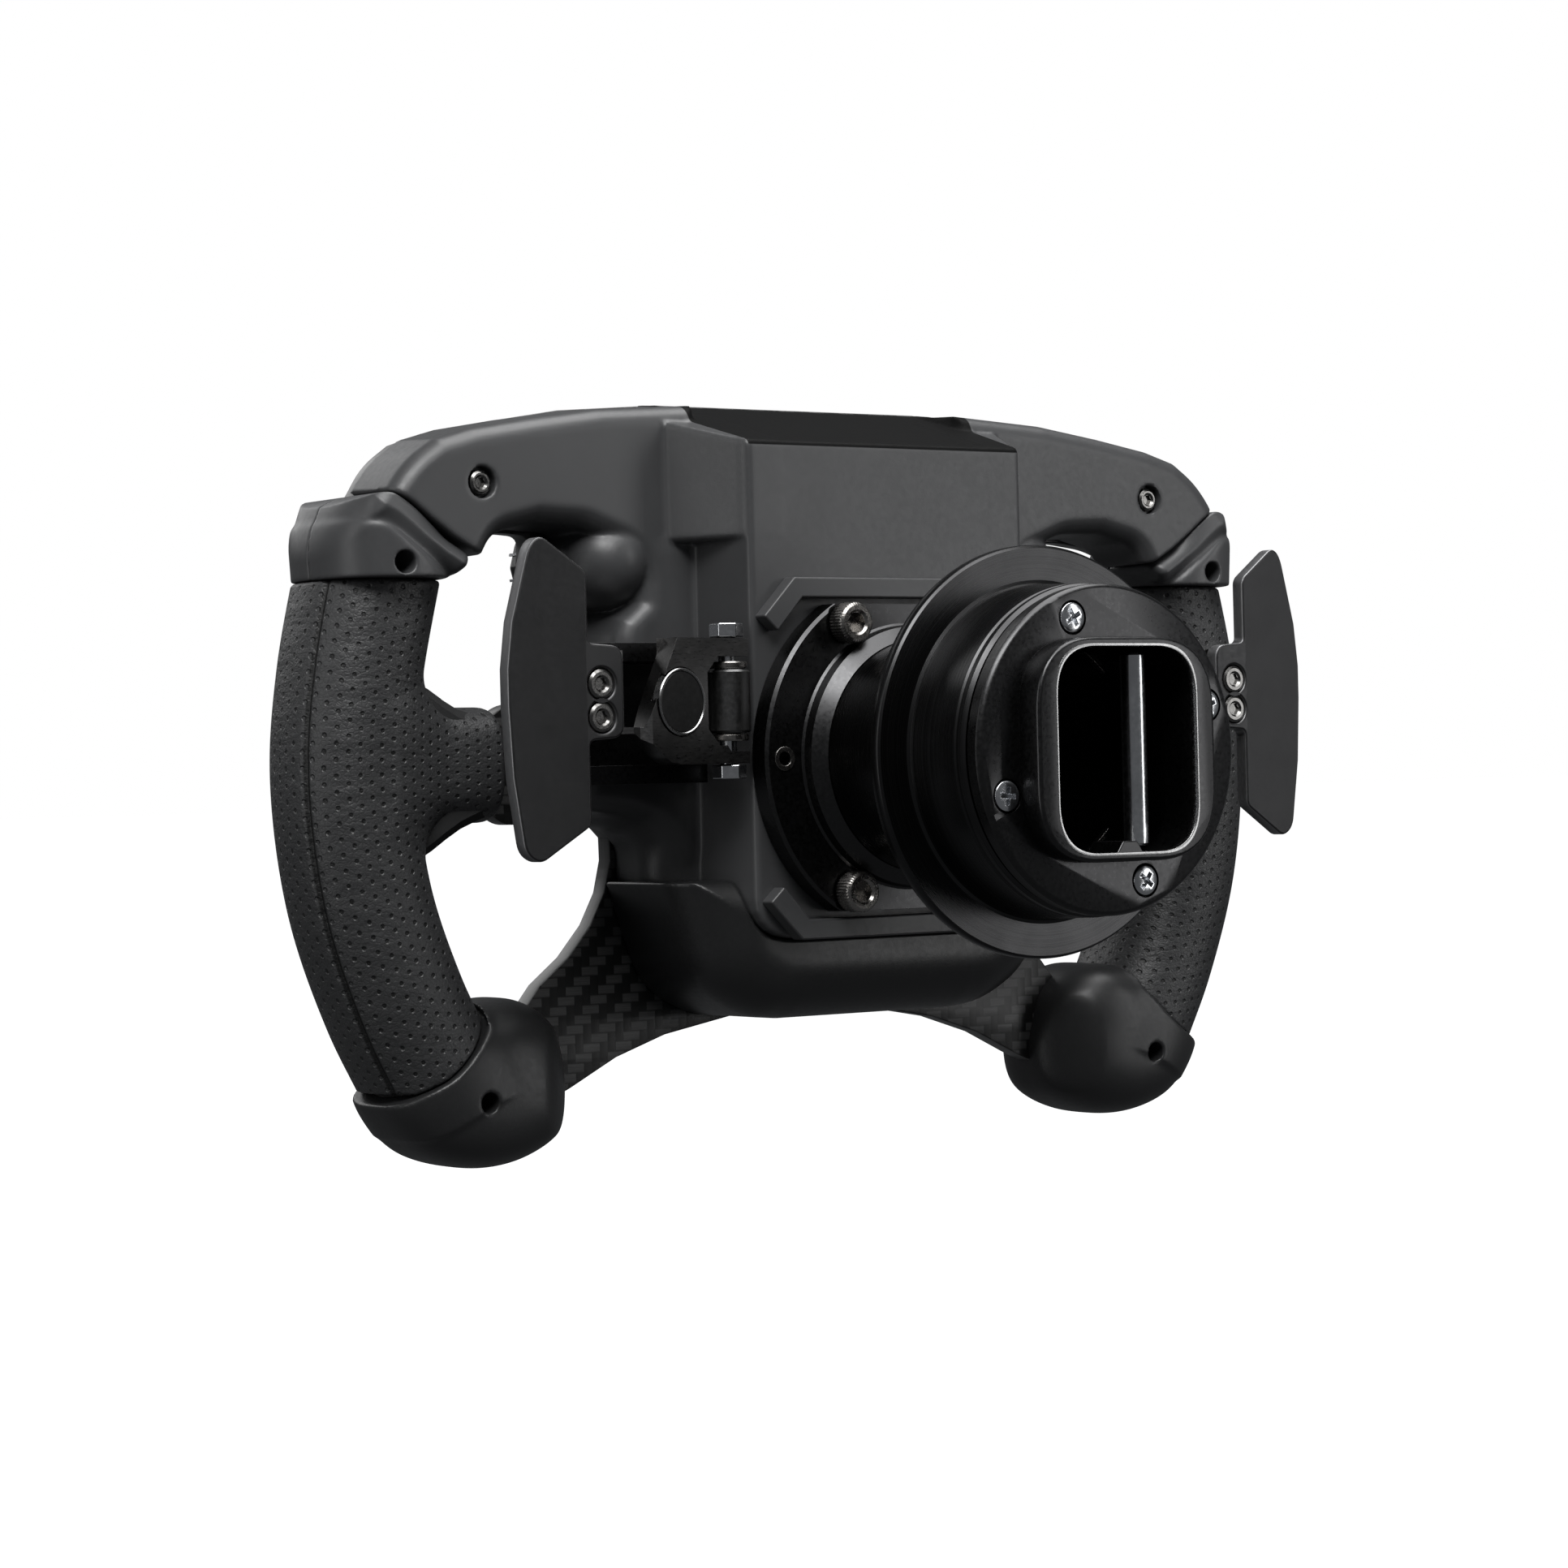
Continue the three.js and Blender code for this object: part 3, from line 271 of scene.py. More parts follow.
def grip_line():
    """Points along the centre line, with a straight run past each end, and their arc lengths."""
    points = np.array(GRIP_POINTS, float)
    points = np.vstack([2 * points[0] - points[1], points, 2 * points[-1] - points[-2]])
    line = []
    for i in range(1, len(points) - 2):
        p = points[i - 1 : i + 3]
        dt = np.linalg.norm(np.diff(p, axis=0), axis=1) ** 0.5
        m1 = ((p[1] - p[0]) / dt[0] - (p[2] - p[0]) / (dt[0] + dt[1]) + (p[2] - p[1]) / dt[1]) * dt[1]
        m2 = ((p[2] - p[1]) / dt[1] - (p[3] - p[1]) / (dt[1] + dt[2]) + (p[3] - p[2]) / dt[2]) * dt[1]
        for t in np.linspace(0, 1, 12, endpoint=False):
            h = (2 * t**3 - 3 * t**2 + 1, t**3 - 2 * t**2 + t, -2 * t**3 + 3 * t**2, t**3 - t**2)
            line.append(h[0] * p[1] + h[1] * m1 + h[2] * p[2] + h[3] * m2)
    line.append(points[-2])
    line = np.array(line)
    first, last = line[0] - line[1], line[-1] - line[-2]
    start = line[0] + first / np.linalg.norm(first) * 45
    end = line[-1] + last / np.linalg.norm(last) * 30
    line = np.vstack([start, line, end])
    arc = np.concatenate([[0], np.cumsum(np.linalg.norm(np.diff(line, axis=0), axis=1))])
    return line, arc - 45


LINE, ARC = grip_line()
GRIP_LENGTH = ARC[-2]
GRIP_TOP = 41.3


def along_grip(x, z):
    """Arc length along the centre line and signed offset outward from it, for points in the wheel's plane."""
    x, z = np.broadcast_arrays(x, z)
    best = np.full(x.shape, 1e9, np.float32)
    s = np.zeros(x.shape, np.float32)
    o = np.zeros(x.shape, np.float32)
    for i in range(len(LINE) - 1):
        (ax, az), (bx, bz) = LINE[i], LINE[i + 1]
        ex, ez = bx - ax, bz - az
        length = math.hypot(ex, ez)
        t = np.clip(((x - ax) * ex + (z - az) * ez) / length**2, 0, 1)
        dx, dz = x - ax - ex * t, z - az - ez * t
        d = dx * dx + dz * dz
        near = d < best
        best = np.where(near, d, best)
        s = np.where(near, ARC[i] + t * length, s)
        side = np.sign((dx * -ez + dz * ex))
        o = np.where(near, side * np.sqrt(d), o)
    return s, o


def grip_end(o):
    """Arc length at which the leather stops: it runs up toward the inner side of the grip."""
    return GRIP_LENGTH - 6.5 * np.clip((5 - o) / 20, 0, 1) ** 1.5


def grip_section(o, y, wide=GRIP_WIDE, deep=GRIP_DEEP, n=GRIP_SQUARE):
    level = (np.abs(o / wide) ** n + np.abs((y - GRIP_Y) / deep) ** n) ** (1 / n)
    return (level - 1) * (wide + deep) / 2


# ---------------- material nodes


class Look:
    """A node material: the shader, and short ways to add nodes before it."""

    def __init__(self, name, **values):
        self.material = bpy.data.materials.new(name)
        self.material.use_nodes = True
        self.tree = self.material.node_tree
        self.shader = self.tree.nodes["Principled BSDF"]
        for key, value in values.items():
            self.shader.inputs[key.replace("_", " ")].default_value = value

    def add(self, kind, inputs=(), **settings):
        node = self.tree.nodes.new(kind)
        for key, value in settings.items():
            setattr(node, key, value)
        for key, value in dict(inputs).items():
            self.feed(node.inputs[key], value)
        return node

    def feed(self, socket, value):
        if isinstance(value, bpy.types.NodeSocket):
            self.tree.links.new(value, socket)
        elif value is not None:
            socket.default_value = value

    def math(self, operation, a, b=None, c=None):
        node = self.add("ShaderNodeMath", operation=operation)
        for socket, value in zip(node.inputs, (a, b, c)):
            self.feed(socket, value)
        return node.outputs[0]

    def from_middle(self, value, pitch):
        """How far a value is from the middle of its repeat, as a share of the pitch."""
        return self.math("SUBTRACT", self.math("FRACT", self.math("DIVIDE", value, pitch)), 0.5)

    def length(self, a, b):
        return self.math("SQRT", self.math("ADD", self.math("MULTIPLY", a, a), self.math("MULTIPLY", b, b)))

    def place(self):
        """Object coordinates in millimetres."""
        where = self.add("ShaderNodeTexCoord").outputs["Object"]
        return self.scaled(where, (1000, 1000, 1000))

    def scaled(self, vector, amount):
        return self.add("ShaderNodeVectorMath", {0: vector, 1: amount}, operation="MULTIPLY").outputs[0]

    def noise(self, vector, scale, detail=2.0, roughness=0.5):
        return self.add(
            "ShaderNodeTexNoise", {"Vector": vector, "Scale": scale, "Detail": detail, "Roughness": roughness}
        ).outputs["Fac"]

    def cells(self, vector, scale, feature="F1"):
        return self.add(
            "ShaderNodeTexVoronoi", {"Vector": vector, "Scale": scale}, feature=feature
        ).outputs["Distance"]

    def ramp(self, value, low, high, to_low=0.0, to_high=1.0):
        node = self.add("ShaderNodeMapRange", clamp=True)
        for socket, v in zip(node.inputs, (value, low, high, to_low, to_high)):
            self.feed(socket, v)
        return node.outputs[0]

    def mix(self, factor, a, b):
        node = self.add("ShaderNodeMix", data_type="RGBA")
        for socket, value in zip((node.inputs[0], node.inputs[6], node.inputs[7]), (factor, a, b)):
            self.feed(socket, value)
        return node.outputs[2]

    def split(self, vector):
        return self.add("ShaderNodeSeparateXYZ", {0: vector}).outputs

    def bump(self, height, strength, distance, below=None):
        inputs = {"Height": height, "Strength": strength, "Distance": distance * MM}
        if below is not None:
            inputs["Normal"] = below
        return self.add("ShaderNodeBump", inputs).outputs[0]

    def set(self, key, value):
        self.feed(self.shader.inputs[key], value)


def grey(v, tint=(1.0, 1.0, 1.0)):
    return (v * tint[0], v * tint[1], v * tint[2], 1.0)


# The box's sloping top: its height at the rear face, and its rise per millimetre toward the driver.
TOP_EDGE, TOP_RISE = 71.6, 0.284
COOL = (0.985, 1.0, 1.035)


def plastic(name, level, rough, grain=1.0, tint=COOL, top_panel=False):
    """Moulded satin plastic: fine spark-eroded grain, faint mottling and slight sheen changes."""
    look = Look(name, Specular_IOR_Level=0.5)
    at = look.place()
    mottle = look.noise(at, 0.06, 3)
    colour = look.mix(mottle, grey(level * 0.86, tint), grey(level * 1.14, tint))
    gloss = look.ramp(look.noise(at, 0.9, 2), 0.3, 0.7, rough - 0.03, rough + 0.04)
    if top_panel:
        x, y, z = look.split(at)[:3]
        ahead = look.math("SUBTRACT", BOX_BACK, y)
        slope = look.math("MULTIPLY_ADD", ahead, TOP_RISE, TOP_EDGE)
        above = look.math("SUBTRACT", z, look.math("SUBTRACT", slope, 0.9))
        wide = look.math("MULTIPLY_ADD", ahead, 0.115, 38.6)
        within = look.math("SUBTRACT", wide, look.math("ABSOLUTE", x))
        panel = look.math("MULTIPLY", look.ramp(above, -0.1, 0.1), look.ramp(within, -0.1, 0.1))
        colour = look.mix(panel, colour, grey(0.006))
        gloss = look.mix(panel, gloss, grey(0.5))
        look.set("Specular IOR Level", look.ramp(panel, 0, 1, 0.5, 0.04))
    look.set("Base Color", colour)
    look.set("Roughness", gloss)
    look.set("Normal", look.bump(look.noise(at, 2.6, 3, 0.6), 0.16 * grain, 0.05))
    return look.material


HOLE_PITCH, ROW_PITCH = 3.2, 2.7   # between the leather's holes along a row, and between rows


def leather(name):
    """Black perforated leather: staggered punched holes, pebbled grain, creases, a sewn seam. The holes are
    painted near-black: partly the dark core behind them, partly painted shade inside them.
    """
    look = Look(name, Specular_IOR_Level=0.55)
    at = look.place()
    uv = look.add("ShaderNodeUVMap", uv_map="wrap").outputs[0]
    u, v = look.split(uv)[:2]
    row = look.math("FLOOR", look.math("DIVIDE", v, ROW_PITCH))
    odd = look.math("MULTIPLY", look.math("PINGPONG", row, 1.0), HOLE_PITCH / 2)
    du = look.from_middle(look.math("ADD", u, odd), HOLE_PITCH)
    dv = look.from_middle(v, ROW_PITCH)
    du = look.math("MULTIPLY", du, HOLE_PITCH)
    dv = look.math("MULTIPLY", dv, ROW_PITCH)
    away = look.length(du, dv)
    seam = look.math("ABSOLUTE", look.math("SUBTRACT", v, SEAM_V))
    clear = look.ramp(seam, 1.9, 2.0)
    hole = look.math("MULTIPLY", look.ramp(away, 0.46, 0.34), clear)
    grain = look.cells(at, 0.95, "DISTANCE_TO_EDGE")
    fine = look.noise(at, 1.7, 4, 0.62)
    crease = look.noise(look.scaled(at, (0.10, 0.12, 0.24)), 1.0, 4, 0.6)
    colour = look.mix(look.noise(at, 0.05, 3), grey(0.024, COOL), grey(0.038, COOL))
    colour = look.mix(look.ramp(grain, 0.0, 0.12, 0.45, 0.0), colour, grey(0.016))
    # The holes are painted near-black: partly the dark core behind them, partly painted shade inside them.
    colour = look.mix(hole, colour, grey(0.0015))
    colour = look.mix(look.ramp(seam, 1.0, 0.6), colour, grey(0.002))
    look.set("Base Color", colour)
    look.set("Roughness", look.ramp(fine, 0.3, 0.7, 0.42, 0.56))
    soft = look.bump(crease, 0.45, 1.1)
    pebble = look.bump(look.math("ADD", look.ramp(grain, 0, 0.2), fine), 0.32, 0.12, soft)
    punched = look.bump(look.math("SUBTRACT", 1.0, look.ramp(away, 0.62, 0.34)), 0.9, 0.35, pebble)
    look.set("Normal", punched)
    return look.material


def carbon(name):
    """2x2 twill carbon laminate under a satin coat; its cut edge is pale and layered. The weave's contrast is
    painted light: a painted sheen on the tows running one way, dark tows the other way, and painted shade at
    each tow's edges.
    """
    look = Look(name, Coat_Weight=0.12, Coat_Roughness=0.3, Specular_IOR_Level=0.3)
    at = look.place()
    x, _, z = look.split(at)[:3]
    tow = 2.2
    i = look.math("FLOOR", look.math("DIVIDE", x, tow))
    j = look.math("FLOOR", look.math("DIVIDE", z, tow))
    turn = look.math("FLOORED_MODULO", look.math("ADD", i, j), 4.0)
    over = look.math("LESS_THAN", turn, 1.5)
    fx, fz = look.from_middle(x, tow), look.from_middle(z, tow)
    across = look.add("ShaderNodeMix", {0: over, 2: fx, 3: fz}).outputs[0]
    crown = look.math("SUBTRACT", 1.0, look.math("MULTIPLY", look.math("MULTIPLY", across, across), 3.2))
    fibres = look.noise(look.scaled(at, (0.3, 1, 9)), 1.0, 2)
    threads = look.noise(look.scaled(at, (9, 1, 0.3)), 1.0, 2)
    strand = look.add("ShaderNodeMix", {0: over, 2: threads, 3: fibres}).outputs[0]
    # Painted sheen: tows running one way are painted pale as if catching the light, the others dark.
    pale = look.mix(strand, grey(0.018), grey(0.065))
    dark = look.mix(strand, grey(0.003), grey(0.009))
    face = look.mix(over, dark, pale)
    # Painted shade where each tow's crown falls away at its edges.
    face = look.mix(look.ramp(crown, 0.2, 0.6), grey(0.004), face)
    normal = look.add("ShaderNodeTexCoord").outputs["Normal"]
    side = look.math("ABSOLUTE", look.split(normal)[1])
    edge = look.ramp(side, 0.75, 0.55)
    layers = look.noise(look.scaled(at, (0.2, 5, 0.2)), 1.0, 3)
    look.set("Base Color", look.mix(edge, face, look.mix(layers, grey(0.07), grey(0.16))))
    look.set("Roughness", look.ramp(strand, 0.2, 0.8, 0.42, 0.3))
    look.set("Normal", look.bump(crown, 0.2, 0.12))
    return look.material


LATHE_LINES = 3.2   # how fine the rings of a turned face are


def metal(name, level, rough, brush=None, tint=(1, 1, 1), dark=0.0, streak=0.5, sides=1.0):
    """Worked metal.

    brush stretches the fine lines along an axis, or is "turned" for rings about the hub's axis. Faces that
    don't look along the hub's axis have their level times sides. This paints light on those edge faces: a
    painted highlight where sides is above 1, painted shade where it is below 1.
    """
    look = Look(name, Metallic=1.0)
    at = look.place()
    if brush == "turned":
        x, y, z = look.split(at)[:3]
        ring = look.add("ShaderNodeCombineXYZ", {0: look.length(x, z), 1: y}).outputs[0]
        lines = look.noise(look.scaled(ring, (LATHE_LINES,) * 3), 1.0, 3, 0.6)
    elif brush:
        lines = look.noise(look.scaled(at, brush), 1.0, 3, 0.65)
    else:
        lines = look.noise(at, 1.2, 3)
    wear = look.noise(at, 0.12, 3)
    base = look.mix(lines, grey(level * (1 - streak * 0.5), tint), grey(level * (1 + streak * 0.5), tint))
    base = look.mix(look.ramp(wear, 0.35, 0.75), base, grey(level * (1 - dark), tint))
    # Painted light: edge faces get a painted highlight (sides above 1) or painted shade (sides below 1).
    if sides != 1.0:
        facing = look.math("ABSOLUTE", look.split(look.add("ShaderNodeTexCoord").outputs["Normal"])[1])
        base = look.mix(look.ramp(facing, 0.5, 0.75), grey(level * sides, tint), base)
    look.set("Base Color", base)
    look.set("Roughness", look.ramp(lines, 0.25, 0.75, rough - 0.05, rough + 0.07))
    look.set("Normal", look.bump(lines, 0.12 if brush else 0.04, 0.03))
    return look.material


# ---------------- solid pieces


def bake(thing):
    """Applies a piece's modifiers to its mesh."""
    bpy.context.view_layer.update()
    graph = bpy.context.evaluated_depsgraph_get()
    mesh = bpy.data.meshes.new_from_object(thing.evaluated_get(graph))
    if thing.type == "CURVE":
        solid = new_object(thing.name + "_solid", mesh)
        solid.matrix_world = thing.matrix_world
        bpy.data.objects.remove(thing)
        return solid
    thing.modifiers.clear()
    thing.data = mesh
    return thing


def cut(thing, *tools, operation="DIFFERENCE"):
    for tool in tools:
        step = thing.modifiers.new("cut", "BOOLEAN")
        step.object = tool
        step.operation = operation
        step.solver = "EXACT"
    bake(thing)
    for tool in tools:
        bpy.data.objects.remove(tool)
    return thing


def turned(name, profile, segments=128, place_at=(0, 0, 0), knurl=None):
    """A body turned about the Y axis from (radius, y) points that close on themselves or on the axis."""
    work = bmesh.new()
    rings = []
    for r, y in profile:
        if r == 0:
            rings.append([work.verts.new((0, y * MM, 0))])
            continue
        ring = []
        for k in range(segments):
            angle = 2 * math.pi * k / segments
            reach = (r + (knurl(k, r, y) if knurl else 0)) * MM
            ring.append(work.verts.new((reach * math.cos(angle), y * MM, reach * math.sin(angle))))
        rings.append(ring)
    closed = profile[0][0] != 0
    pairs = list(zip(rings, rings[1:] + rings[:1])) if closed else list(zip(rings, rings[1:]))
    for a, b in pairs:
        for k in range(segments):
            n = (k + 1) % segments
            if len(a) == 1:
                work.faces.new((a[0], b[n], b[k]))
            elif len(b) == 1:
                work.faces.new((a[k], a[n], b[0]))
            else:
                work.faces.new((a[k], a[n], b[n], b[k]))
    bmesh.ops.recalc_face_normals(work, faces=work.faces)
    bmesh.ops.translate(work, vec=Vector(place_at) * MM, verts=work.verts)
    mesh = bpy.data.meshes.new(name)
    work.to_mesh(mesh)
    work.free()
    return new_object(name, mesh)


def rod(radius, y0, y1, x=0, z=0, segments=48):
    return turned("tool", [(0, y0), (radius, y0), (radius, y1), (0, y1)], segments, (x, 0, z))


def prism(name, points, low, high, axis="y"):
    """An outline made solid: along y it is (x, z), and along z it is (x, y)."""
    work = bmesh.new()

    def lift(p, level):
        return (p[0] * MM, level * MM, p[1] * MM) if axis == "y" else (p[0] * MM, p[1] * MM, level * MM)

    near = [work.verts.new(lift(p, low)) for p in points]
    far = [work.verts.new(lift(p, high)) for p in points]
    work.faces.new(near)
    work.faces.new(far[::-1])
    for i in range(len(points)):
        n = (i + 1) % len(points)
        work.faces.new((near[n], near[i], far[i], far[n]))
    bmesh.ops.recalc_face_normals(work, faces=work.faces)
    mesh = bpy.data.meshes.new(name)
    work.to_mesh(mesh)
    work.free()
    return new_object(name, mesh)


def block(x0, x1, y0, y1, z0, z1):
    return prism("tool", [(x0, z0), (x1, z0), (x1, z1), (x0, z1)], y0, y1)


def finish(thing, edge=0.3, segments=2, angle=32):
    """Rounds the sharp edges of a solid piece and shades it."""
    work = bmesh.new()
    work.from_mesh(thing.data)
    bmesh.ops.remove_doubles(work, verts=work.verts, dist=0.002 * MM)
    bmesh.ops.dissolve_limit(work, angle_limit=math.radians(0.6), verts=work.verts, edges=work.edges)
    work.to_mesh(thing.data)
    work.free()
    shade(thing.data, angle)
    if edge:
        soften(thing, edge, segments, angle)
    return thing


def rework(node, material, edge=0.3, segments=2):
    """A CAD node's own shape with its edges rounded, standing for the node."""
    thing = new_object(node + "_finished", frame["nodes"][node].data.copy())
    finish(thing, edge, segments)
    return place(thing, node, material)


def pair_of(right, base, material, replaced=None):
    """Places a right-hand piece and its mirror image."""
    left = mirrored(right, base + "_left_looks")
    right.name = base + "_right_looks"
    for thing, side in ((right, "right"), (left, "left")):
        nodes = [n.format(side) for n in replaced] if replaced else [f"{base}_{side}"]
        place(thing, nodes[0], material, tuple(nodes))
    return right, left


# ---------------- finishes

# The leather's flat pattern: where its seam runs, the distance round the grip, and the offset of u.
SEAM_V = 7.8
GRIP_ROUND = 102.0
U_START = 500.0

M_LEATHER = leather("perforated_leather")
M_SHELL = plastic("shell_grey", 0.046, 0.4, top_panel=True)
M_CAP = plastic("cap_grey", 0.05, 0.4)
M_BLACK = plastic("black_moulding", 0.016, 0.4)
M_CARBON = carbon("twill_carbon")
M_ANODISED = metal("black_anodised", 0.05, 0.3, None, (1, 1, 1.02))
M_SLEEVE = metal("black_turned", 0.045, 0.27, "turned", (1, 1, 1.02), 0.2, 0.5)
M_NICKEL = metal("dark_nickel", 0.28, 0.26, None, (1.04, 1.0, 0.95))
M_ZINC = metal("bright_zinc", 0.72, 0.2, None, (0.98, 1.0, 1.03), 0.15, 0.1)
# The lever's edge faces are darkened to a quarter (sides 0.25): painted shade.
M_BRUSHED = metal("brushed_steel", 0.2, 0.3, (0.05, 2.2, 2.2), (1.0, 0.99, 0.98), 0.2, 0.9, 0.25)
# The paddles' edge faces are five times lighter (sides 5.0): a painted highlight along their edges.
M_PADDLE = metal("paddle_sheet", 0.055, 0.44, None, (1.0, 1.0, 1.02), 0.1, 0.12, 5.0)
M_STEEL = metal("black_steel", 0.16, 0.24, None, (1.02, 1.0, 0.97), 0.1, 0.2)
M_DISC = metal("dark_disc", 0.06, 0.5, None, (1, 1, 1), 0.1, 0.6)
M_SATIN = metal("satin_black", 0.11, 0.36, None, (1, 1, 1), 0.1, 0.15)
M_RIM = metal("machined_edge", 0.3, 0.24, None, (1, 1, 1), 0.1, 0.2)
M_FOAM = plastic("foam_core", 0.012, 0.85)
M_RED = plastic("red_cap", 0.12, 0.38, 1.0, (2.2, 0.12, 0.1))
M_WHITE = plastic("white_mark", 0.75, 0.5, 0.3)
M_GREY = plastic("grey_cap", 0.25, 0.4)
M_BOARD = plastic("circuit_board", 0.03, 0.5, 1.0, (0.3, 1.6, 0.7))

# ---------------- leather grips


def leather_grip():
    room = Room((77, -143, -72), (140, -104, 46.5), 0.5)
    s, o = along_grip(room.x, room.z)
    section = grip_section(o, room.y)
    spoke_z = (room.z - 0.3) / 13.0
    spoke = ((np.abs(spoke_z) ** 3 + np.abs((room.y - GRIP_Y) / 12.6) ** 3) ** (1 / 3) - 1) * 12.8
    spoke = meet(meet(spoke, 86.2 - room.x, 2.5), room.x - 112)
    body = join(section, spoke, 9.0)
    wrap = np.arctan2((room.y - GRIP_Y) / GRIP_DEEP, o / GRIP_WIDE) * GRIP_ROUND / (2 * math.pi)
    body = body + 0.8 * np.exp(-(((wrap - SEAM_V) / 0.6) ** 2))
    body = meet(meet(body, room.z - GRIP_TOP + 0.1, 0.9), s - grip_end(o) + 0.1, 0.7)
    thing = room.mesh("grip_leather", body)
    wrap_map(thing)
    return thing


def read(items, key, width=1, kind=np.float32):
    """One of a mesh's values for every item, as an array."""
    values = np.empty(len(items) * width, kind)
    items.foreach_get(key, values)
    return values.reshape(-1, width) if width > 1 else values


def wrap_map(thing):
    """Lays the leather flat: arc length along the grip, and distance round it from its outermost line."""
    mesh = thing.data
    co = read(mesh.vertices, "co", 3) / MM
    s, o = along_grip(co[:, 0], co[:, 2])
    loops = read(mesh.loops, "vertex_index", 1, np.int32)
    normal = read(mesh.polygons, "normal", 3)
    start = read(mesh.polygons, "loop_start", 1, np.int32)
    face = np.searchsorted(start, np.arange(len(loops)), side="right") - 1
    centre = np.add.reduceat(co[loops], start) / np.diff(np.append(start, len(loops)))[:, None]
    _, centre_o = along_grip(centre[:, 0], centre[:, 2])
    at, so, oo = co[loops], s[loops], o[loops]
    behind = np.sign(centre[face, 1] - GRIP_Y)
    angle = np.arctan2((at[:, 1] - GRIP_Y) / GRIP_DEEP, oo / GRIP_WIDE)
    reference = np.arctan2((centre[face, 1] - GRIP_Y) / GRIP_DEEP, centre_o[face] / GRIP_WIDE)
    angle += np.round((reference - angle) / (2 * math.pi)) * 2 * math.pi
    u, v = so.copy(), angle * GRIP_ROUND / (2 * math.pi)
    planar = (np.abs(normal[face, 1]) > 0.5) & (centre_o[face] < 0)
    v = np.where(planar, behind * (GRIP_ROUND / 4 + np.abs(oo)), v)
    on_spoke = (centre_o[face] < -17) & ~planar
    u = np.where(on_spoke, at[:, 0], u)
    v = np.where(on_spoke, at[:, 1] - GRIP_Y + 60, v)
    layer = mesh.uv_layers.new(name="wrap")
    layer.data.foreach_set("uv", np.stack([u + U_START, v], 1).astype(np.float32).ravel())


grip, grip_left = pair_of(leather_grip(), "grip_cover", M_LEATHER)
for side, sign in SIDES:
    rework(f"grip_core_{side}", M_FOAM, 0)

# ---------------- caps at the ends of the grips

CAP_JOINT = [
    (84, 44.6), (92, 45.2), (98, 46.6), (104, 50), (109.5, 53.8), (115, 58, 3), (119.5, 60.4, 3), (127, 60.9),
    (140, 61), (140, 20), (84, 20),
]
CAP_BACK = FLANGE_BACK - 25.4
CAP_HOLE = (116.4, 44.6)
SLANT, SLANT_LENGTH = 0.9, 1.345   # the slope of the cap's slanted faces, and the length of (1, slope)


def upper_cap(rear):
    room = Room((88, -142, 40), (134, -98, 63), 0.4)
    x, y, z = room.x, room.y, room.z
    joint = flat_distance(rounded(CAP_JOINT), x, z)
    deep = CAP_BACK - GRIP_Y if rear else GRIP_DEEP
    shift = 114.4 + 0.06 * (z - GRIP_TOP)
    body = grip_section(x - shift, y, GRIP_WIDE + 0.4, deep + 0.2, 2.5 if rear else 2.3)
    neck = meet(between(joint, -7, 0), between(x, 93, 124), 1.5)
    neck = meet(neck, y - CAP_BACK if rear else GRIP_Y - 13.5 - y, 5)
    neck = meet(neck, (102.5 - x - SLANT * (z - GRIP_TOP)) / SLANT_LENGTH, 2)
    body = join(body + 1.0 / (1 + np.exp(-(joint + 7) / 0.4)), neck, 1.5)
    body = meet(meet(body, joint, 0.6), GRIP_TOP + 0.1 - z, 0.5)
    body = meet(body, ((x - 127.8) + SLANT * (z - 57)) / SLANT_LENGTH, 6.0)
    body = meet(body, (PLATE_BACK + 0.1 - y) if rear else (y - PLATE_BACK + 0.1), 0.3)
    if rear:
        hole = room.off(CAP_HOLE) - 2.5
        body = carve(body, meet(hole, CAP_BACK - 8 - y), 0.4)
    return room.mesh("upper_cap", body)


pair_of(upper_cap(True), "upper_cap_rear", M_CAP)
pair_of(upper_cap(False), "upper_cap_front", M_CAP)

LOWER_CAP_MIDDLE = (95.0, -71.0)
LOWER_RIM = [
    (90, -52.5), (82, -52.5), (74.5, -57), (70.5, -65), (69, -74), (72, -83), (82, -88.5), (94, -89.8),
    (106, -86.5), (113.9, -79), (116.9, -71.4), (115.2, -63), (102, -55),
]


def smooth_loop(points, samples=14):
    points = np.array(points, float)
    out = []
    for i in range(len(points)):
        p = [points[(i + k - 1) % len(points)] for k in range(4)]
        for t in np.linspace(0, 1, samples, endpoint=False):
            out.append(
                0.5 * ((2 * p[1]) + (p[2] - p[0]) * t + (2 * p[0] - 5 * p[1] + 4 * p[2] - p[3]) * t * t
                       + (3 * p[1] - p[0] - 3 * p[2] + p[3]) * t**3)
            )
    return np.array(out)


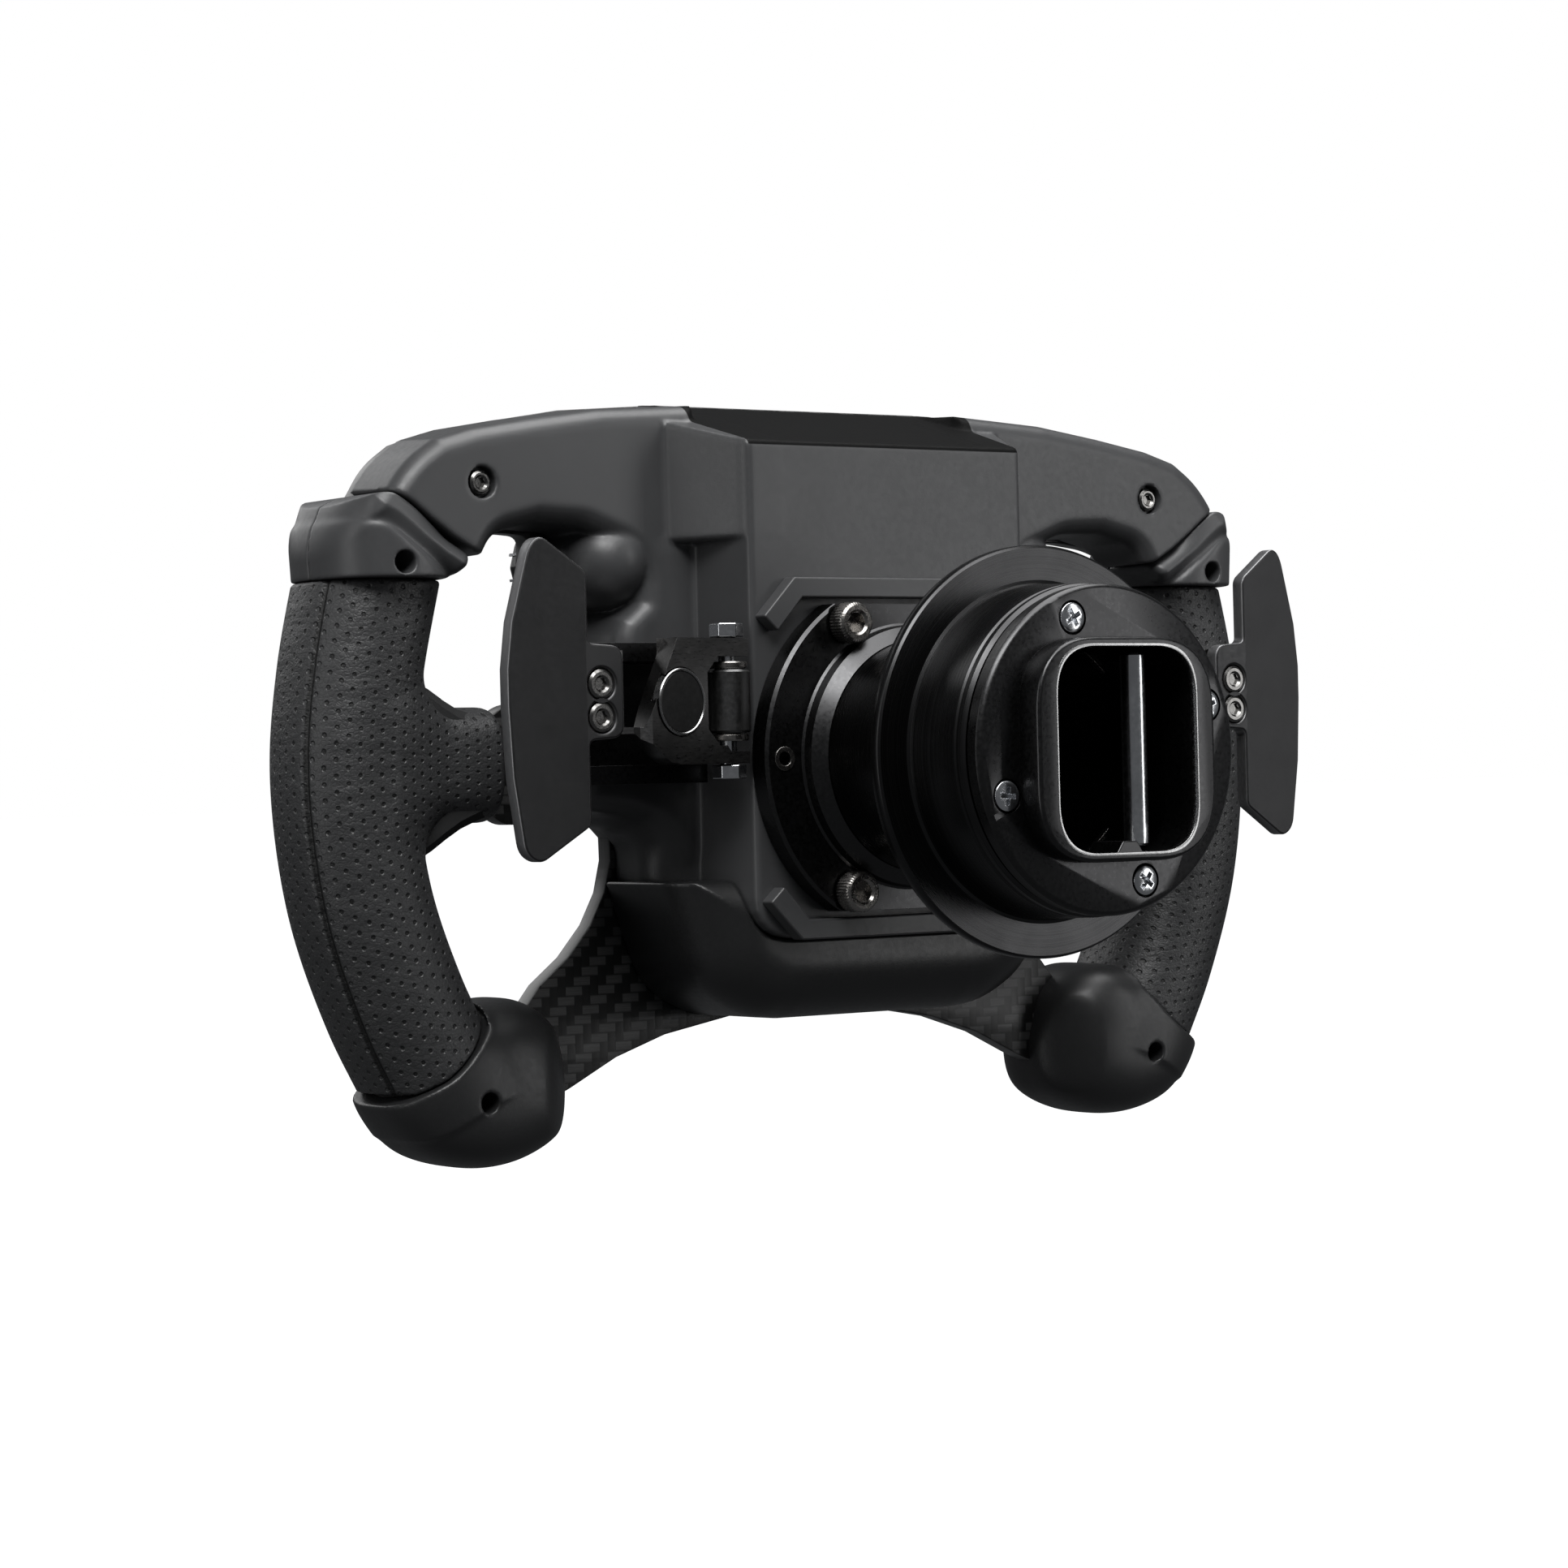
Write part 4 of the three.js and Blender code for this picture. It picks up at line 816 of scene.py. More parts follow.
def lower_cap():
    room = Room((66, -143, -93), (122, -103, -50), 0.5)
    cx, cz = LOWER_CAP_MIDDLE
    full = 3.1   # 2 would make it an ellipsoid; more fills out its shoulders
    rim = smooth_loop(LOWER_RIM)
    angles = np.arctan2(rim[:, 1] - cz, rim[:, 0] - cx)
    order = np.argsort(angles)
    radii = np.hypot(rim[:, 0] - cx, rim[:, 1] - cz)[order]
    here = np.arctan2(room.z - cz, room.x - cx)
    reach = np.interp(here, angles[order], radii, period=2 * math.pi)
    half = np.where(room.y > GRIP_Y, 18.0, 17.0)
    share = room.off(LOWER_CAP_MIDDLE) / reach
    level = share**full + (np.abs(room.y - GRIP_Y) / half) ** full
    body = (level ** (1 / full) - 1) * 18
    s, o = along_grip(room.x, room.z)
    inside = (share - 1) * 18
    stub = meet(meet(grip_section(o, room.y) + 0.5, s - GRIP_LENGTH - 8), inside + 0.4, 3)
    facet = 0.7 * (room.y + 112.4) - 0.714 * (room.x - 73)
    body = join(meet(body, facet, 2.0), stub, 4)
    loose = np.where(o > 0, o * 0.8, o)
    sleeve = meet(grip_section(loose, room.y, GRIP_WIDE + 0.3, GRIP_DEEP + 3), s - grip_end(o) - 0.12)
    body = carve(body, sleeve, 0.5)
    hole = room.off(LOWER_CAP_HOLE) - 2.3
    body = carve(body, meet(hole, GRIP_Y + 8 - room.y), 0.5)
    return room.mesh("lower_cap", body)


pair_of(lower_cap(), "lower_cap", M_BLACK)

# ---------------- rear shell

ARM = [
    (37.6, 82.2), (64.4, 80.5), (82.4, 77.9), (98, 75.2), (107, 72.6), (114, 68, 5), (119, 62, 3), (122, 56),
    (98, 40), (92, 50.6, 3), (81.3, 53.2), (70, 52.6, 2), (58, 48, 3), (54.5, 43, 3), (55, 37), (60, 33),
    (62, 28, 4), (62, 14, 4), (72, 12, 3), (73.5, -11, 3), (60, -12.5, 3), (52, -15, 3), (44, -24),
    (44, -40.5), (20, -40.6),
]
BOX_SIDES = both_sides([(43, 90), (44, -22), (44, -40.6, 13)])
BOX_SIDES_REAR = both_sides([(39, 90), (39.2, -22), (39.2, -40.6, 13)])
FLARE = [
    (38, 49.5), (54, 49.5), (53.8, 44), (55, 37), (60, 33), (62, 28), (62, 14), (63, 12, 2), (62, -12.5, 2),
    (55, -14.5, 2), (52, -19), (52, -26), (49.5, -34, 4), (46.4, -39.6, 3), (38, -40.2),
]
ARM_HOLLOW = [(66, 57), (84, 57), (103, 55.5), (110, 59), (108, 64), (101, 67.5), (66, 73)]


def box_sides(room):
    """Distance to the box's sides, which draw in steadily toward its rear face."""
    y0, y1 = BOX_ROOT + 4, BOX_BACK
    t = np.clip((room.y - y0) / (y1 - y0), 0, 1)
    front, back = (flat_distance(rounded(line), room.x, room.z) for line in (BOX_SIDES, BOX_SIDES_REAR))
    return front * (1 - t) + back * t


def below_top(room):
    """Signed distance to the box's sloping top."""
    return (room.z - TOP_EDGE - TOP_RISE * (BOX_BACK - room.y)) / math.hypot(1, TOP_RISE)


def shell_outside(room):
    """The outside of the shell, right-hand half."""
    x, y, z = room.x, room.y, room.z
    arms = flat_distance(rounded(ARM), x, z) + 0.055 * (y - BOX_ROOT)
    arms = meet(arms, y - ARM_BACK, 4.5)
    arms = meet(arms, 0.35 - flat_distance(rounded(CAP_JOINT), x, z), 0.6)
    case = meet(meet(box_sides(room), below_top(room), 0.8), y - BOX_BACK, 1.0)
    # Two sloping sides: 0.905 and 23.7 turn their slopes into true distances.
    ahead = (BOX_BACK - 0.6 - y) / 24.5
    shoulder = (x - 39.1 - 11.4 * ahead) * 0.905
    shoulder = meet(meet(shoulder, 49.5 - z, 1.6), y - BOX_BACK + 0.7, 0.8)
    shoulder = meet(meet(shoulder, below_top(room) + 0.15, 0.8), 30 - x)
    shoulder = meet(shoulder, BOX_ROOT + 10 - y)
    flare = ((x - 42) * 15.4 - (FLANGE_BACK - 22.6 - y) * 18) / 23.7
    flare = meet(flare, flat_distance(rounded(FLARE), x, z), 3.0)
    pod = (np.sqrt((room.off(POD) / 10.8) ** 2 + (np.maximum(y + 113, 0) / 11.5) ** 2) - 1) * 10.8
    body = join(arms, meet(flare, y - ARM_BACK + 0.5, 1.0), 5.0)
    body = join(body, case, 1.2)
    body = join(body, shoulder, 0.7)
    return join(body, pod, 0.8)


def shell_half():
    """The right-hand half of the shell, from the middle plane outward."""
    room = Room((-3, BOX_ROOT - 1.4, -43), (122, -78, 86), 0.6)
    x, y, z = room.x, room.y, room.z
    body = meet(shell_outside(room), BOX_ROOT - y, 0.3)
    wall = 2.5
    inner = meet(meet(box_sides(room) + wall, y - BOX_BACK + wall), below_top(room) + wall)
    hollow = np.minimum(inner, meet(flat_distance(ARM_HOLLOW, x, z), y - ARM_BACK + 5))
    # Room for the controls behind the face plate: each pocket's outline, and the level it reaches back to.
    pockets = [
        (meet(between(x, 58.6, 69.4), between(z, -10.1, 10.1)), BOX_ROOT + 11.5),
        (room.off(POD) - 8.2, BOX_ROOT + 10),
        (meet(between(x, 42, 58), between(z, -6, 6)), BOX_ROOT + 8),
        (meet(between(x, 52, 68), between(z, 58, 70)), BOX_ROOT + 8),
        (meet(between(x, 37, 53), between(z, 41, 50)), BOX_ROOT + 8),
    ]
    for outline, depth in pockets:
        hollow = np.minimum(hollow, meet(outline, y - depth))
    body = carve(body, hollow)
    seat = meet(room.off(ARM_SCREW) - 3.5, ARM_BACK - 2.8 - y)
    bore = meet(room.off(ARM_SCREW) - 1.9, ARM_BACK - 9 - y)
    return room.mesh("shell_half", carve(body, np.minimum(seat, bore), 0.35))


def whole(half, name):
    """A piece that is its own mirror image, from its right-hand half."""
    work = bmesh.new()
    work.from_mesh(half.data)
    slice_at(work, 0, clear_inner=True)
    work.to_mesh(half.data)
    other = half.data.copy()
    flip(other)
    work.from_mesh(other)
    seam = [v for v in work.verts if abs(v.co.x) < 0.01 * MM]
    bmesh.ops.remove_doubles(work, verts=seam, dist=0.02 * MM)
    work.to_mesh(half.data)
    work.free()
    half.name = name
    shade(half.data, 50)
    return half


place(whole(shell_half(), "rear_shell_looks"), "rear_shell", M_SHELL)

LIP = [
    (38.2, 32), (29.6, 40.8), (-29.6, 40.8), (-38.2, 32), (-34.4, 28.6), (-27.4, 36.2), (27.4, 36.2),
    (34.4, 28.6),
]
for label, sign in (("upper", 1), ("lower", -1)):
    lip = prism(f"shell_lip_{label}", [(x, z * sign) for x, z in LIP], BOX_BACK - 0.6, FLANGE_BACK - 2)
    place(finish(lip, 0.5, 3), "rear_shell", M_SHELL, None)

CHIN = both_sides([(56, -24), (51.8, -36, 6), (46.5, -51, 8), (34, -58.4, 8), (24, -59.3)])


def lower_cover_half():
    room = Room((-1.5, BOX_ROOT - 1.4, -61.5), (55, -82, -24), 0.5)
    x, y, z = room.x, room.y, room.z
    bowl = meet(flat_distance(rounded(CHIN, 8), x, z), y - BOX_BACK + 2.4, 14)
    body = meet(meet(bowl, z + 27, 0.8), BOX_ROOT - y, 0.4)
    body = carve(body, shell_outside(room) - 0.35, 0.5)
    inner = meet(flat_distance([(p[0] * 0.92, p[1] * 0.93) for p in CHIN], x, z), y - FLANGE_BACK + 19)
    return room.mesh("cover_half", carve(body, meet(inner, z + 43)))


place(whole(lower_cover_half(), "lower_cover_looks"), "lower_cover", plastic("chin_black", 0.013, 0.36))

# ---------------- carbon face plate

TANG = 6.5   # half the width of the plate's tongue inside a grip
UPPER_HOLE = [
    (58, 33.5, 3), (52, 38, 3), (50.5, 33, 3), (55.5, 26, 3), (57, 17, 4), (62, 14, 3), (80, 14, 3),
    (86, 10, 3),
]
UPPER_HOLE_END = [
    (101, 48, 5), (94, 51, 4), (81, 52.6, 3), (73, 52, 3), (74, 44, 4), (70, 34.5, 5), (64, 31.5, 4),
]
LOWER_HOLE = [
    (82, -13.4, 3), (57, -13.2, 3), (53.2, -17), (53.1, -22.2), (54.9, -29.6), (58.9, -36.9), (65.2, -44),
    (73, -50), (78, -56, 3), (88, -64.2), (97, -66.6),
]
BUTTON_PLACES = [(78, 66), (107, 62.8), (34, 4)]


def beside(offset, arc_from, arc_to, count):
    out = []
    for a in np.linspace(arc_from, arc_to, count):
        at = np.array([np.interp(a, ARC, LINE[:, 0]), np.interp(a, ARC, LINE[:, 1])])
        ahead = np.array([np.interp(a + 1, ARC, LINE[:, 0]), np.interp(a + 1, ARC, LINE[:, 1])]) - at
        ahead /= np.linalg.norm(ahead)
        out.append((at[0] - ahead[1] * offset, at[1] + ahead[0] * offset))
    return out


def ring_of(x, z, r, sides=48):
    turns = [2 * math.pi * k / sides for k in range(sides)]
    return [(x + r * math.cos(a), z + r * math.sin(a)) for a in turns]


def frame_of(half, low, high, inset=0.0, radius=2.0):
    x, z0, z1 = half - inset, low + inset, high - inset
    return rounded([(-x, z0, radius), (x, z0, radius), (x, z1, radius), (-x, z1, radius)])


def sheet(name, loops, y0, y1, edge):
    """Outlines with holes, made solid between two levels, with small rounded edges."""
    curve = bpy.data.curves.new(name, "CURVE")
    curve.dimensions = "2D"
    curve.fill_mode = "BOTH"
    for loop in loops:
        spline = curve.splines.new("POLY")
        spline.points.add(len(loop) - 1)
        for point, (x, z) in zip(spline.points, loop):
            point.co = (x * MM, z * MM, 0, 1)
        spline.use_cyclic_u = True
    curve.extrude = ((y1 - y0) / 2 - edge) * MM
    curve.bevel_depth = edge * MM
    curve.bevel_resolution = 2
    curve.offset = -edge * MM
    flat = new_object(name, curve)
    flat.matrix_world = Matrix.Translation((0, (y0 + y1) / 2 * MM, 0)) @ Matrix.Rotation(math.pi / 2, 4, "X")
    thing = bake(flat)
    thing.data.transform(thing.matrix_world)
    thing.matrix_world = Matrix.Identity(4)
    thing.name = name
    work = bmesh.new()
    work.from_mesh(thing.data)
    bmesh.ops.remove_doubles(work, verts=work.verts, dist=0.004 * MM)
    bmesh.ops.recalc_face_normals(work, faces=work.faces)
    work.to_mesh(thing.data)
    work.free()
    shade(thing.data, 35)
    return thing


def face_plate():
    top = [(37.6, 82.8), (64.4, 80.8), (82.4, 77.8), (98, 74.8), (106.8, 71.8), (113.5, 67, 4), (118.2, 59.5)]
    foot = [(99, -78, 4), (80, -79, 4), (67, -74.6, 3), (52.7, -67.5), (39, -63), (20.6, -59.7)]
    arc_top, arc_low = 0.02 * GRIP_LENGTH, 0.99 * GRIP_LENGTH
    at_10 = float(np.interp(-10, -LINE[:, 1], ARC))
    at_low = float(np.interp(9.5, -LINE[:, 1], ARC))
    right = top + beside(TANG, arc_top, arc_low, 12) + foot
    loops = [rounded(both_sides(right), 5)]
    upper = UPPER_HOLE + beside(-TANG, at_10, arc_top, 8) + UPPER_HOLE_END
    lower = LOWER_HOLE + beside(-TANG, GRIP_LENGTH, at_low, 9) + [(86, -9.5, 3)]
    for mirror in (False, True):
        side = -1 if mirror else 1
        for hole in (upper, lower):
            loops.append(rounded(mirror_points(hole) if mirror else hole, 6))
        loops.append(ring_of(side * POD[0], POD[1], 3.6))
        loops.append(ring_of(side * 24, -22, 4.4))
        slot = ((-3.7, -9.9), (3.7, -9.9), (3.7, 9.9), (-3.7, 9.9))
        loops.append(rounded([(side * ENCODER_X + a, b, 1) for a, b in slot]))
        loops += [ring_of(side * bx, bz, 5.8) for bx, bz in BUTTON_PLACES]
    loops.append(frame_of(42, 17, 62, 3, 2))
    loops.append(frame_of(50, 69, 76, 2, 1))
    return sheet("face_plate_looks", loops, PLATE_FRONT, PLATE_BACK, 0.35)


place(face_plate(), "face_plate", M_CARBON)

# ---------------- quick-release hub


def socket_outline(width, height, corner, shrink=0.0):
    x, z = width / 2 - shrink, height / 2 - shrink
    c = corner * 1.35
    return rounded([(-x, -z, c), (x, -z, c), (x, z, c), (-x, z, c)], 14)


SOCKET_SIZE = (38.8, 44.4, 8)   # width, height and corner
SOCKET_DEPTH = 46
SOCKET = socket_outline(*SOCKET_SIZE)
BOLT_CIRCLE, SCREW_CIRCLE = 35, 29.8


def on_circle(radius, degrees):
    """Points on a circle about the hub's axis, at angles from straight up."""
    return [(radius * math.sin(math.radians(a)), radius * math.cos(math.radians(a))) for a in degrees]


BOLTS = on_circle(BOLT_CIRCLE, (30, 150, 210, 330))
END_SCREWS = on_circle(SCREW_CIRCLE, (18.2, 108.2, 198.2, 288.2))


def behind_flange(profile):
    """A (radius, distance) profile measured from the flange's rear face, as (radius, y)."""
    return [(radius, FLANGE_BACK + distance) for radius, distance in profile]


flange = turned("hub_flange_looks", behind_flange([
    (9, -5.4), (40, -5.4), (40, -0.7), (39.3, 0), (30.4, 0), (29.9, 0.5), (29.5, 2.6), (26.6, 5), (9, 5),
]), 160)
flats = [block(-30, 30, BOX_BACK - 1, FLANGE_BACK + 1, low, low + 15.3) for low in (-50, 34.7)]
seats = [rod(5.0, FLANGE_BACK - 0.5, FLANGE_BACK + 2.2, x, z) for x, z in BOLTS]
inserts = [rod(1.5, FLANGE_BACK - 3, FLANGE_BACK + 1, x, 0, 32) for x in (-BOLT_CIRCLE, BOLT_CIRCLE)]
cut(flange, *flats, *seats, *inserts)
place(finish(flange, 0.25), "hub_flange", M_ANODISED)
INSERT = behind_flange([(1.6, -1), (2.7, -1), (2.7, 0.25), (1.6, 0.25)])
for side, x in (("left", -BOLT_CIRCLE), ("right", BOLT_CIRCLE)):
    ring = turned(f"hub_flange_insert_{side}", INSERT, 40, (x, 0, 0))
    place(finish(ring, 0.1), "hub_flange", M_NICKEL, None)

tube = turned("hub_tube_looks", behind_flange([
    (8, 5.3), (26.4, 5.3), (26.4, 45.9), (25, 45.9), (25, 48), (26.4, 48), (26.4, 62), (33.6, 62),
    (33.6, 65.6), (8, 65.6),
]), 160)
threads = [rod(1.9, TUBE_BACK - 5, TUBE_BACK + 1, x, z, 24) for x, z in END_SCREWS]
cut(tube, prism("tool", SOCKET, -SOCKET_DEPTH, 1), *threads)
place(finish(tube, 0), "hub_tube", M_SLEEVE)

sleeve = turned("lock_sleeve_looks", behind_flange([
    (31.8, 45), (44.5, 45), (45.1, 45.3), (45.3, 45.9), (45.3, 47.3), (45.1, 47.8), (44.6, 48.2),
    (37.6, 48.2), (36.9, 48.6), (36.6, 49.4), (36.1, 62.5), (35.7, 62.9), (35.7, 63.5), (36.1, 63.9),
    (36.0, 64.8), (35.3, 65.6), (34.2, 65.6), (34.2, 61.6), (26.8, 61.6), (26.8, 59.2), (31.8, 59.2),
]), 192)
place(finish(sleeve, 0, angle=24), "lock_sleeve", M_SLEEVE)

plate = turned("socket_plate_looks", behind_flange([
    (0, 65.9), (34.9, 65.9), (35.6, 66.6), (35.7, 69.4), (35.3, 70.1), (34.6, 70.5), (0, 70.5),
]), 160)
ring = prism("ring", socket_outline(49.2, 47.9, 12), PLATE_END - 1, 0)
finish(ring, 0.9, 3)
cut(plate, ring, operation="UNION")
wells = [rod(3.75, PLATE_END - 1.8, PLATE_END + 1, x, z) for x, z in END_SCREWS]
bores = [rod(2, TUBE_BACK - 1, PLATE_END + 1, x, z, 24) for x, z in END_SCREWS]
cut(plate, prism("tool", SOCKET, TUBE_BACK - 1, 1), *wells, *bores)
finish(plate, 0.4, 3)
place(plate, "socket_plate", M_ANODISED)
rim_edges = [socket_outline(*SOCKET_SIZE, shrink) for shrink in (-0.45, 0.25)]
rim = sheet("socket_rim", rim_edges, -1.6, 0.04, 0.15)
place(rim, "socket_plate", M_RIM, None)
key = prism("socket_key", [(-4.4, -23), (4.4, -23), (2, -19.6), (-2, -19.6)], TUBE_BACK + 1, -0.2)
place(finish(key, 0.4, 3), "socket_plate", M_ANODISED, None)


def phillips(node, radius, height, x, y, z, turn, material):
    """Pan-head screw with a cross recess; the middle of its head is at y."""
    head = turned(node + "_looks", [
        (0, y - height - 4), (1.5, y - height - 4), (1.5, y - height), (radius, y - height),
        (radius, y - height * 0.5), (radius * 0.93, y - height * 0.22), (radius * 0.75, y - height * 0.06),
        (0, y)], 64)
    tools = []
    for quarter in (0, 1):
        blade = block(-radius * 0.58, radius * 0.58, y - height * 0.8, y + 1, -0.5, 0.5)
        blade.data.transform(Matrix.Rotation(quarter * math.pi / 2, 4, "Y"))
        tools.append(blade)
    cut(head, *tools)
    head.data.transform(Matrix.Translation((x * MM, 0, z * MM)) @ Matrix.Rotation(turn, 4, "Y"))
    return place(finish(head, 0.12), node, material)


for i, (x, z) in enumerate(END_SCREWS):
    phillips(f"socket_screw_{i + 1}", 3.4, 1.9, x, PLATE_END + 0.5, z, 0.5 + i, M_ZINC)


def socket_head(node, radius, height, hexagon, x, y, z, material, shank, knurled=True):
    """Socket-head screw; its head's rear face is at y, and shank is its radius and length."""
    def ridge(k, r, at):
        return 0.13 if knurled and k % 4 < 2 and r > radius - 0.05 and y - height - 0.1 < at < y - 0.3 else 0

    head = turned(node + "_looks", [
        (0, y - height - shank[1]), (shank[0], y - height - shank[1]), (shank[0], y - height),
        (radius - 0.3, y - height), (radius, y - height + 0.3), (radius, y - 0.8), (radius - 0.15, y - 0.35),
        (radius - 0.7, y), (hexagon + 0.5, y), (0, y)], 160, (x, 0, z), ridge)
    well = prism("tool", ring_of(x, z, hexagon, 6), y - height * 0.6, y + 1)
    bevel = [(0, y - 0.5), (hexagon - 0.1, y - 0.5), (hexagon + 0.45, y + 0.05), (0, y + 0.05)]
    cone = turned("tool", bevel, 48, (x, 0, z))
    cut(head, well, cone)
    return place(finish(head, 0), node, material)


for i, (x, z) in enumerate(BOLTS):
    socket_head(f"hub_bolt_{i + 1}", 4.5, 4.8, 2.5, x, FLANGE_BACK + 5.1, z, M_NICKEL, (2.5, 4.6))

pin = turned(
    "latch_pin_looks", [(0, -20.8), (2.2, -20.8), (2.7, -20.3), (2.7, 20.3), (2.2, 20.8), (0, 20.8)], 64
)
pin.data.transform(Matrix.Translation((-9 * MM, -8.8 * MM, 0)) @ Matrix.Rotation(math.pi / 2, 4, "X"))
place(finish(pin, 0), "latch_pin", M_ZINC)
rework("contact_block", M_BLACK, 0.3)
rework("retaining_ring", M_NICKEL, 0.1)

# The locking spring: the CAD's own shape, on a mesh of its own.
spring = rework("lock_spring", M_ZINC, 0)
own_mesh(spring)

# ---------------- shift paddles

LEAN, LEAN_FROM = math.tan(math.radians(5)), 94   # the paddle bends toward the driver outside this x
PADDLE = [
    (93.4, 40.7, 1.5), (104.2, 48.4, 2), (107, 46.5, 3), (111.4, 30), (112.6, 20), (112.6, 12), (111.8, -3),
    (109.4, -19.2, 2.5), (105.8, -21.4, 2), (93.4, -13.5, 1.5), (93.4, 4.6, 1.5), (84.6, 5.2, 3),
    (84.6, 24.8, 3), (93.4, 25.4, 1.5),
]
PADDLE_SCREWS = [(90.2, 16.7), (90.2, 9.6)]


def shift_paddle():
    loops = [rounded(PADDLE, 6)] + [ring_of(x, z, 3.55) for x, z in PADDLE_SCREWS]
    thing = sheet("shift_paddle", loops, PADDLE_Y, PADDLE_Y + 3.7, 0.5)
    work = bmesh.new()
    work.from_mesh(thing.data)
    slice_at(work, LEAN_FROM)
    for v in work.verts:
        v.co.y -= max(0.0, v.co.x - LEAN_FROM * MM) * LEAN
    work.normal_update()
    for face in work.faces:
        face.smooth = abs(face.normal.y) < 0.98
    work.to_mesh(thing.data)
    work.free()
    return thing


pair_of(shift_paddle(), "shift_paddle", M_PADDLE)
for i, (x, z) in enumerate(PADDLE_SCREWS):
    for side, sign in SIDES:
        socket_head(f"paddle_screw_{i + 1}_{side}", 3.3, 1.7, 1.5, sign * x, PADDLE_Y + 3.8, z,
                    M_STEEL, (1.6, 4.6), False)

# The magnetic levers the paddles are screwed to. Each slopes toward the wheelbase from the box outward.
LEVER_TILT = math.atan2(7, 31)
PIVOT_X, PIVOT_Y = 47.2, FLANGE_BACK - 4.2
MAGNET_X, MAGNET_Z = 64.5, 12.9
MAGNET_Y = FLANGE_BACK - 2 + (MAGNET_X - 43) * math.tan(LEVER_TILT)
LEVER_WINDOW = [(40, 3.2), (52.5, 3.2), (56, 6.8), (56, 19.4), (52.5, 23), (40, 23)]
LEVER_SLANT = [(64.7, 28), (82, 28), (82, 7.4), (75.2, 7.4)]


def standing(thing, x, y, sign):
    """Turns a body made about the Y axis upright at (x, y) and gives it a side."""
    thing.data.transform(Matrix.Rotation(math.pi / 2, 4, "X"))
    thing.data.transform(Matrix.Translation((sign * x * MM, y * MM, 0)))
    return thing


for side, sign in SIDES:
    lever = new_object(f"paddle_lever_{side}_looks", frame["nodes"][f"paddle_lever_{side}"].data.copy())
    window = prism("tool", [(sign * x, z) for x, z in LEVER_WINDOW], -95, -60)
    slant = prism("tool", [(sign * x, z) for x, z in LEVER_SLANT], -79.6, -60)
    place(finish(cut(lever, window, slant), 0.35), f"paddle_lever_{side}", M_BRUSHED)
    rework(f"paddle_bracket_{side}", M_ANODISED, 0.3)
    rework(f"pivot_pin_{side}", M_ZINC, 0.3)
    tilt = Matrix.Translation((sign * MAGNET_X * MM, MAGNET_Y * MM, MAGNET_Z * MM))
    tilt = tilt @ Matrix.Rotation(sign * LEVER_TILT, 4, "Z")
    disc = turned(
        f"paddle_magnet_{side}_looks", [(0, -1.4), (6.7, -1.4), (6.7, 0.2), (6.5, 0.35), (0, 0.35)], 96
    )
    rim = turned(f"paddle_magnet_{side}_rim", [
        (6.75, -1.4), (7.4, -1.4), (7.4, 0.3), (7.2, 0.55), (6.95, 0.55), (6.75, 0.35)], 96)
    for thing, material, stands in ((disc, M_DISC, ()), (rim, M_RIM, None)):
        thing.data.transform(tilt)
        place(finish(thing, 0), f"paddle_magnet_{side}", material, stands)
    barrel = turned(f"pivot_barrel_{side}", [
        (1.8, 6), (4.6, 6), (5.1, 6.5), (5.1, 19.5), (4.6, 20), (1.8, 20)], 64)
    place(standing(finish(barrel, 0), PIVOT_X, PIVOT_Y, sign), f"paddle_bracket_{side}", M_SATIN, None)
    for label, low in (("lower", 4.2), ("upper", 20.3)):
        collar = turned(f"pivot_collar_{label}_{side}", [
            (1.8, low), (4.3, low), (4.5, low + 0.3), (4.5, low + 1.2), (4.3, low + 1.5), (1.8, low + 1.5),
        ], 64)
        place(standing(finish(collar, 0), PIVOT_X, PIVOT_Y, sign), f"paddle_bracket_{side}", M_NICKEL, None)
    socket_head(f"top_screw_{side}", 2.8, 2.0, 1.3, sign * ARM_SCREW[0], ARM_BACK - 0.6, ARM_SCREW[1],
                M_STEEL, (1.5, 3), False)

# ---------------- driver's side

KNOB_STEPS = 12

for side, sign in SIDES:
    rework(f"rotary_knob_{side}", M_BLACK, 0.25)
    skirt = turned(f"rotary_knob_{side}_skirt", [
        (8.5, -135.6), (10.4, -135.6), (11.7, -133.2), (11.7, -129.4), (11.2, -128.8), (8.5, -128.8),
    ], KNOB_STEPS, (sign * POD[0], 0, POD[1]))
    centre = Matrix.Translation((sign * POD[0] * MM, 0, POD[1] * MM))
    place(finish(skirt, 0.3, 2, 20), f"rotary_knob_{side}", M_BLACK, None)
    for k in range(KNOB_STEPS):
        mark = block(-0.3, 0.3, -134.6, -130.0, 11.15, 11.55)
        mark.name = f"rotary_knob_{side}_mark_{k + 1}"
        mark.data.transform(centre @ Matrix.Rotation(math.radians(360 / KNOB_STEPS * (k + 0.5)), 4, "Y"))
        place(mark, f"rotary_knob_{side}", M_WHITE, None)
    rework(f"thumb_encoder_{side}", M_BLACK, 0.25)
    rework(f"toggle_switch_{side}", M_ZINC, 0.2)
    for i, material in enumerate((M_GREY, M_RED, M_BLACK)):
        rework(f"push_button_{side}_{i + 1}", material, 0.35, 3)
rework("display_module", plastic("cover_glass", 0.004, 0.08, 0.05), 0.3)
rework("shift_light_bar", M_BLACK, 0.3)
rework("main_board", M_BOARD, 0.2)

# ---------------- floor, light and camera

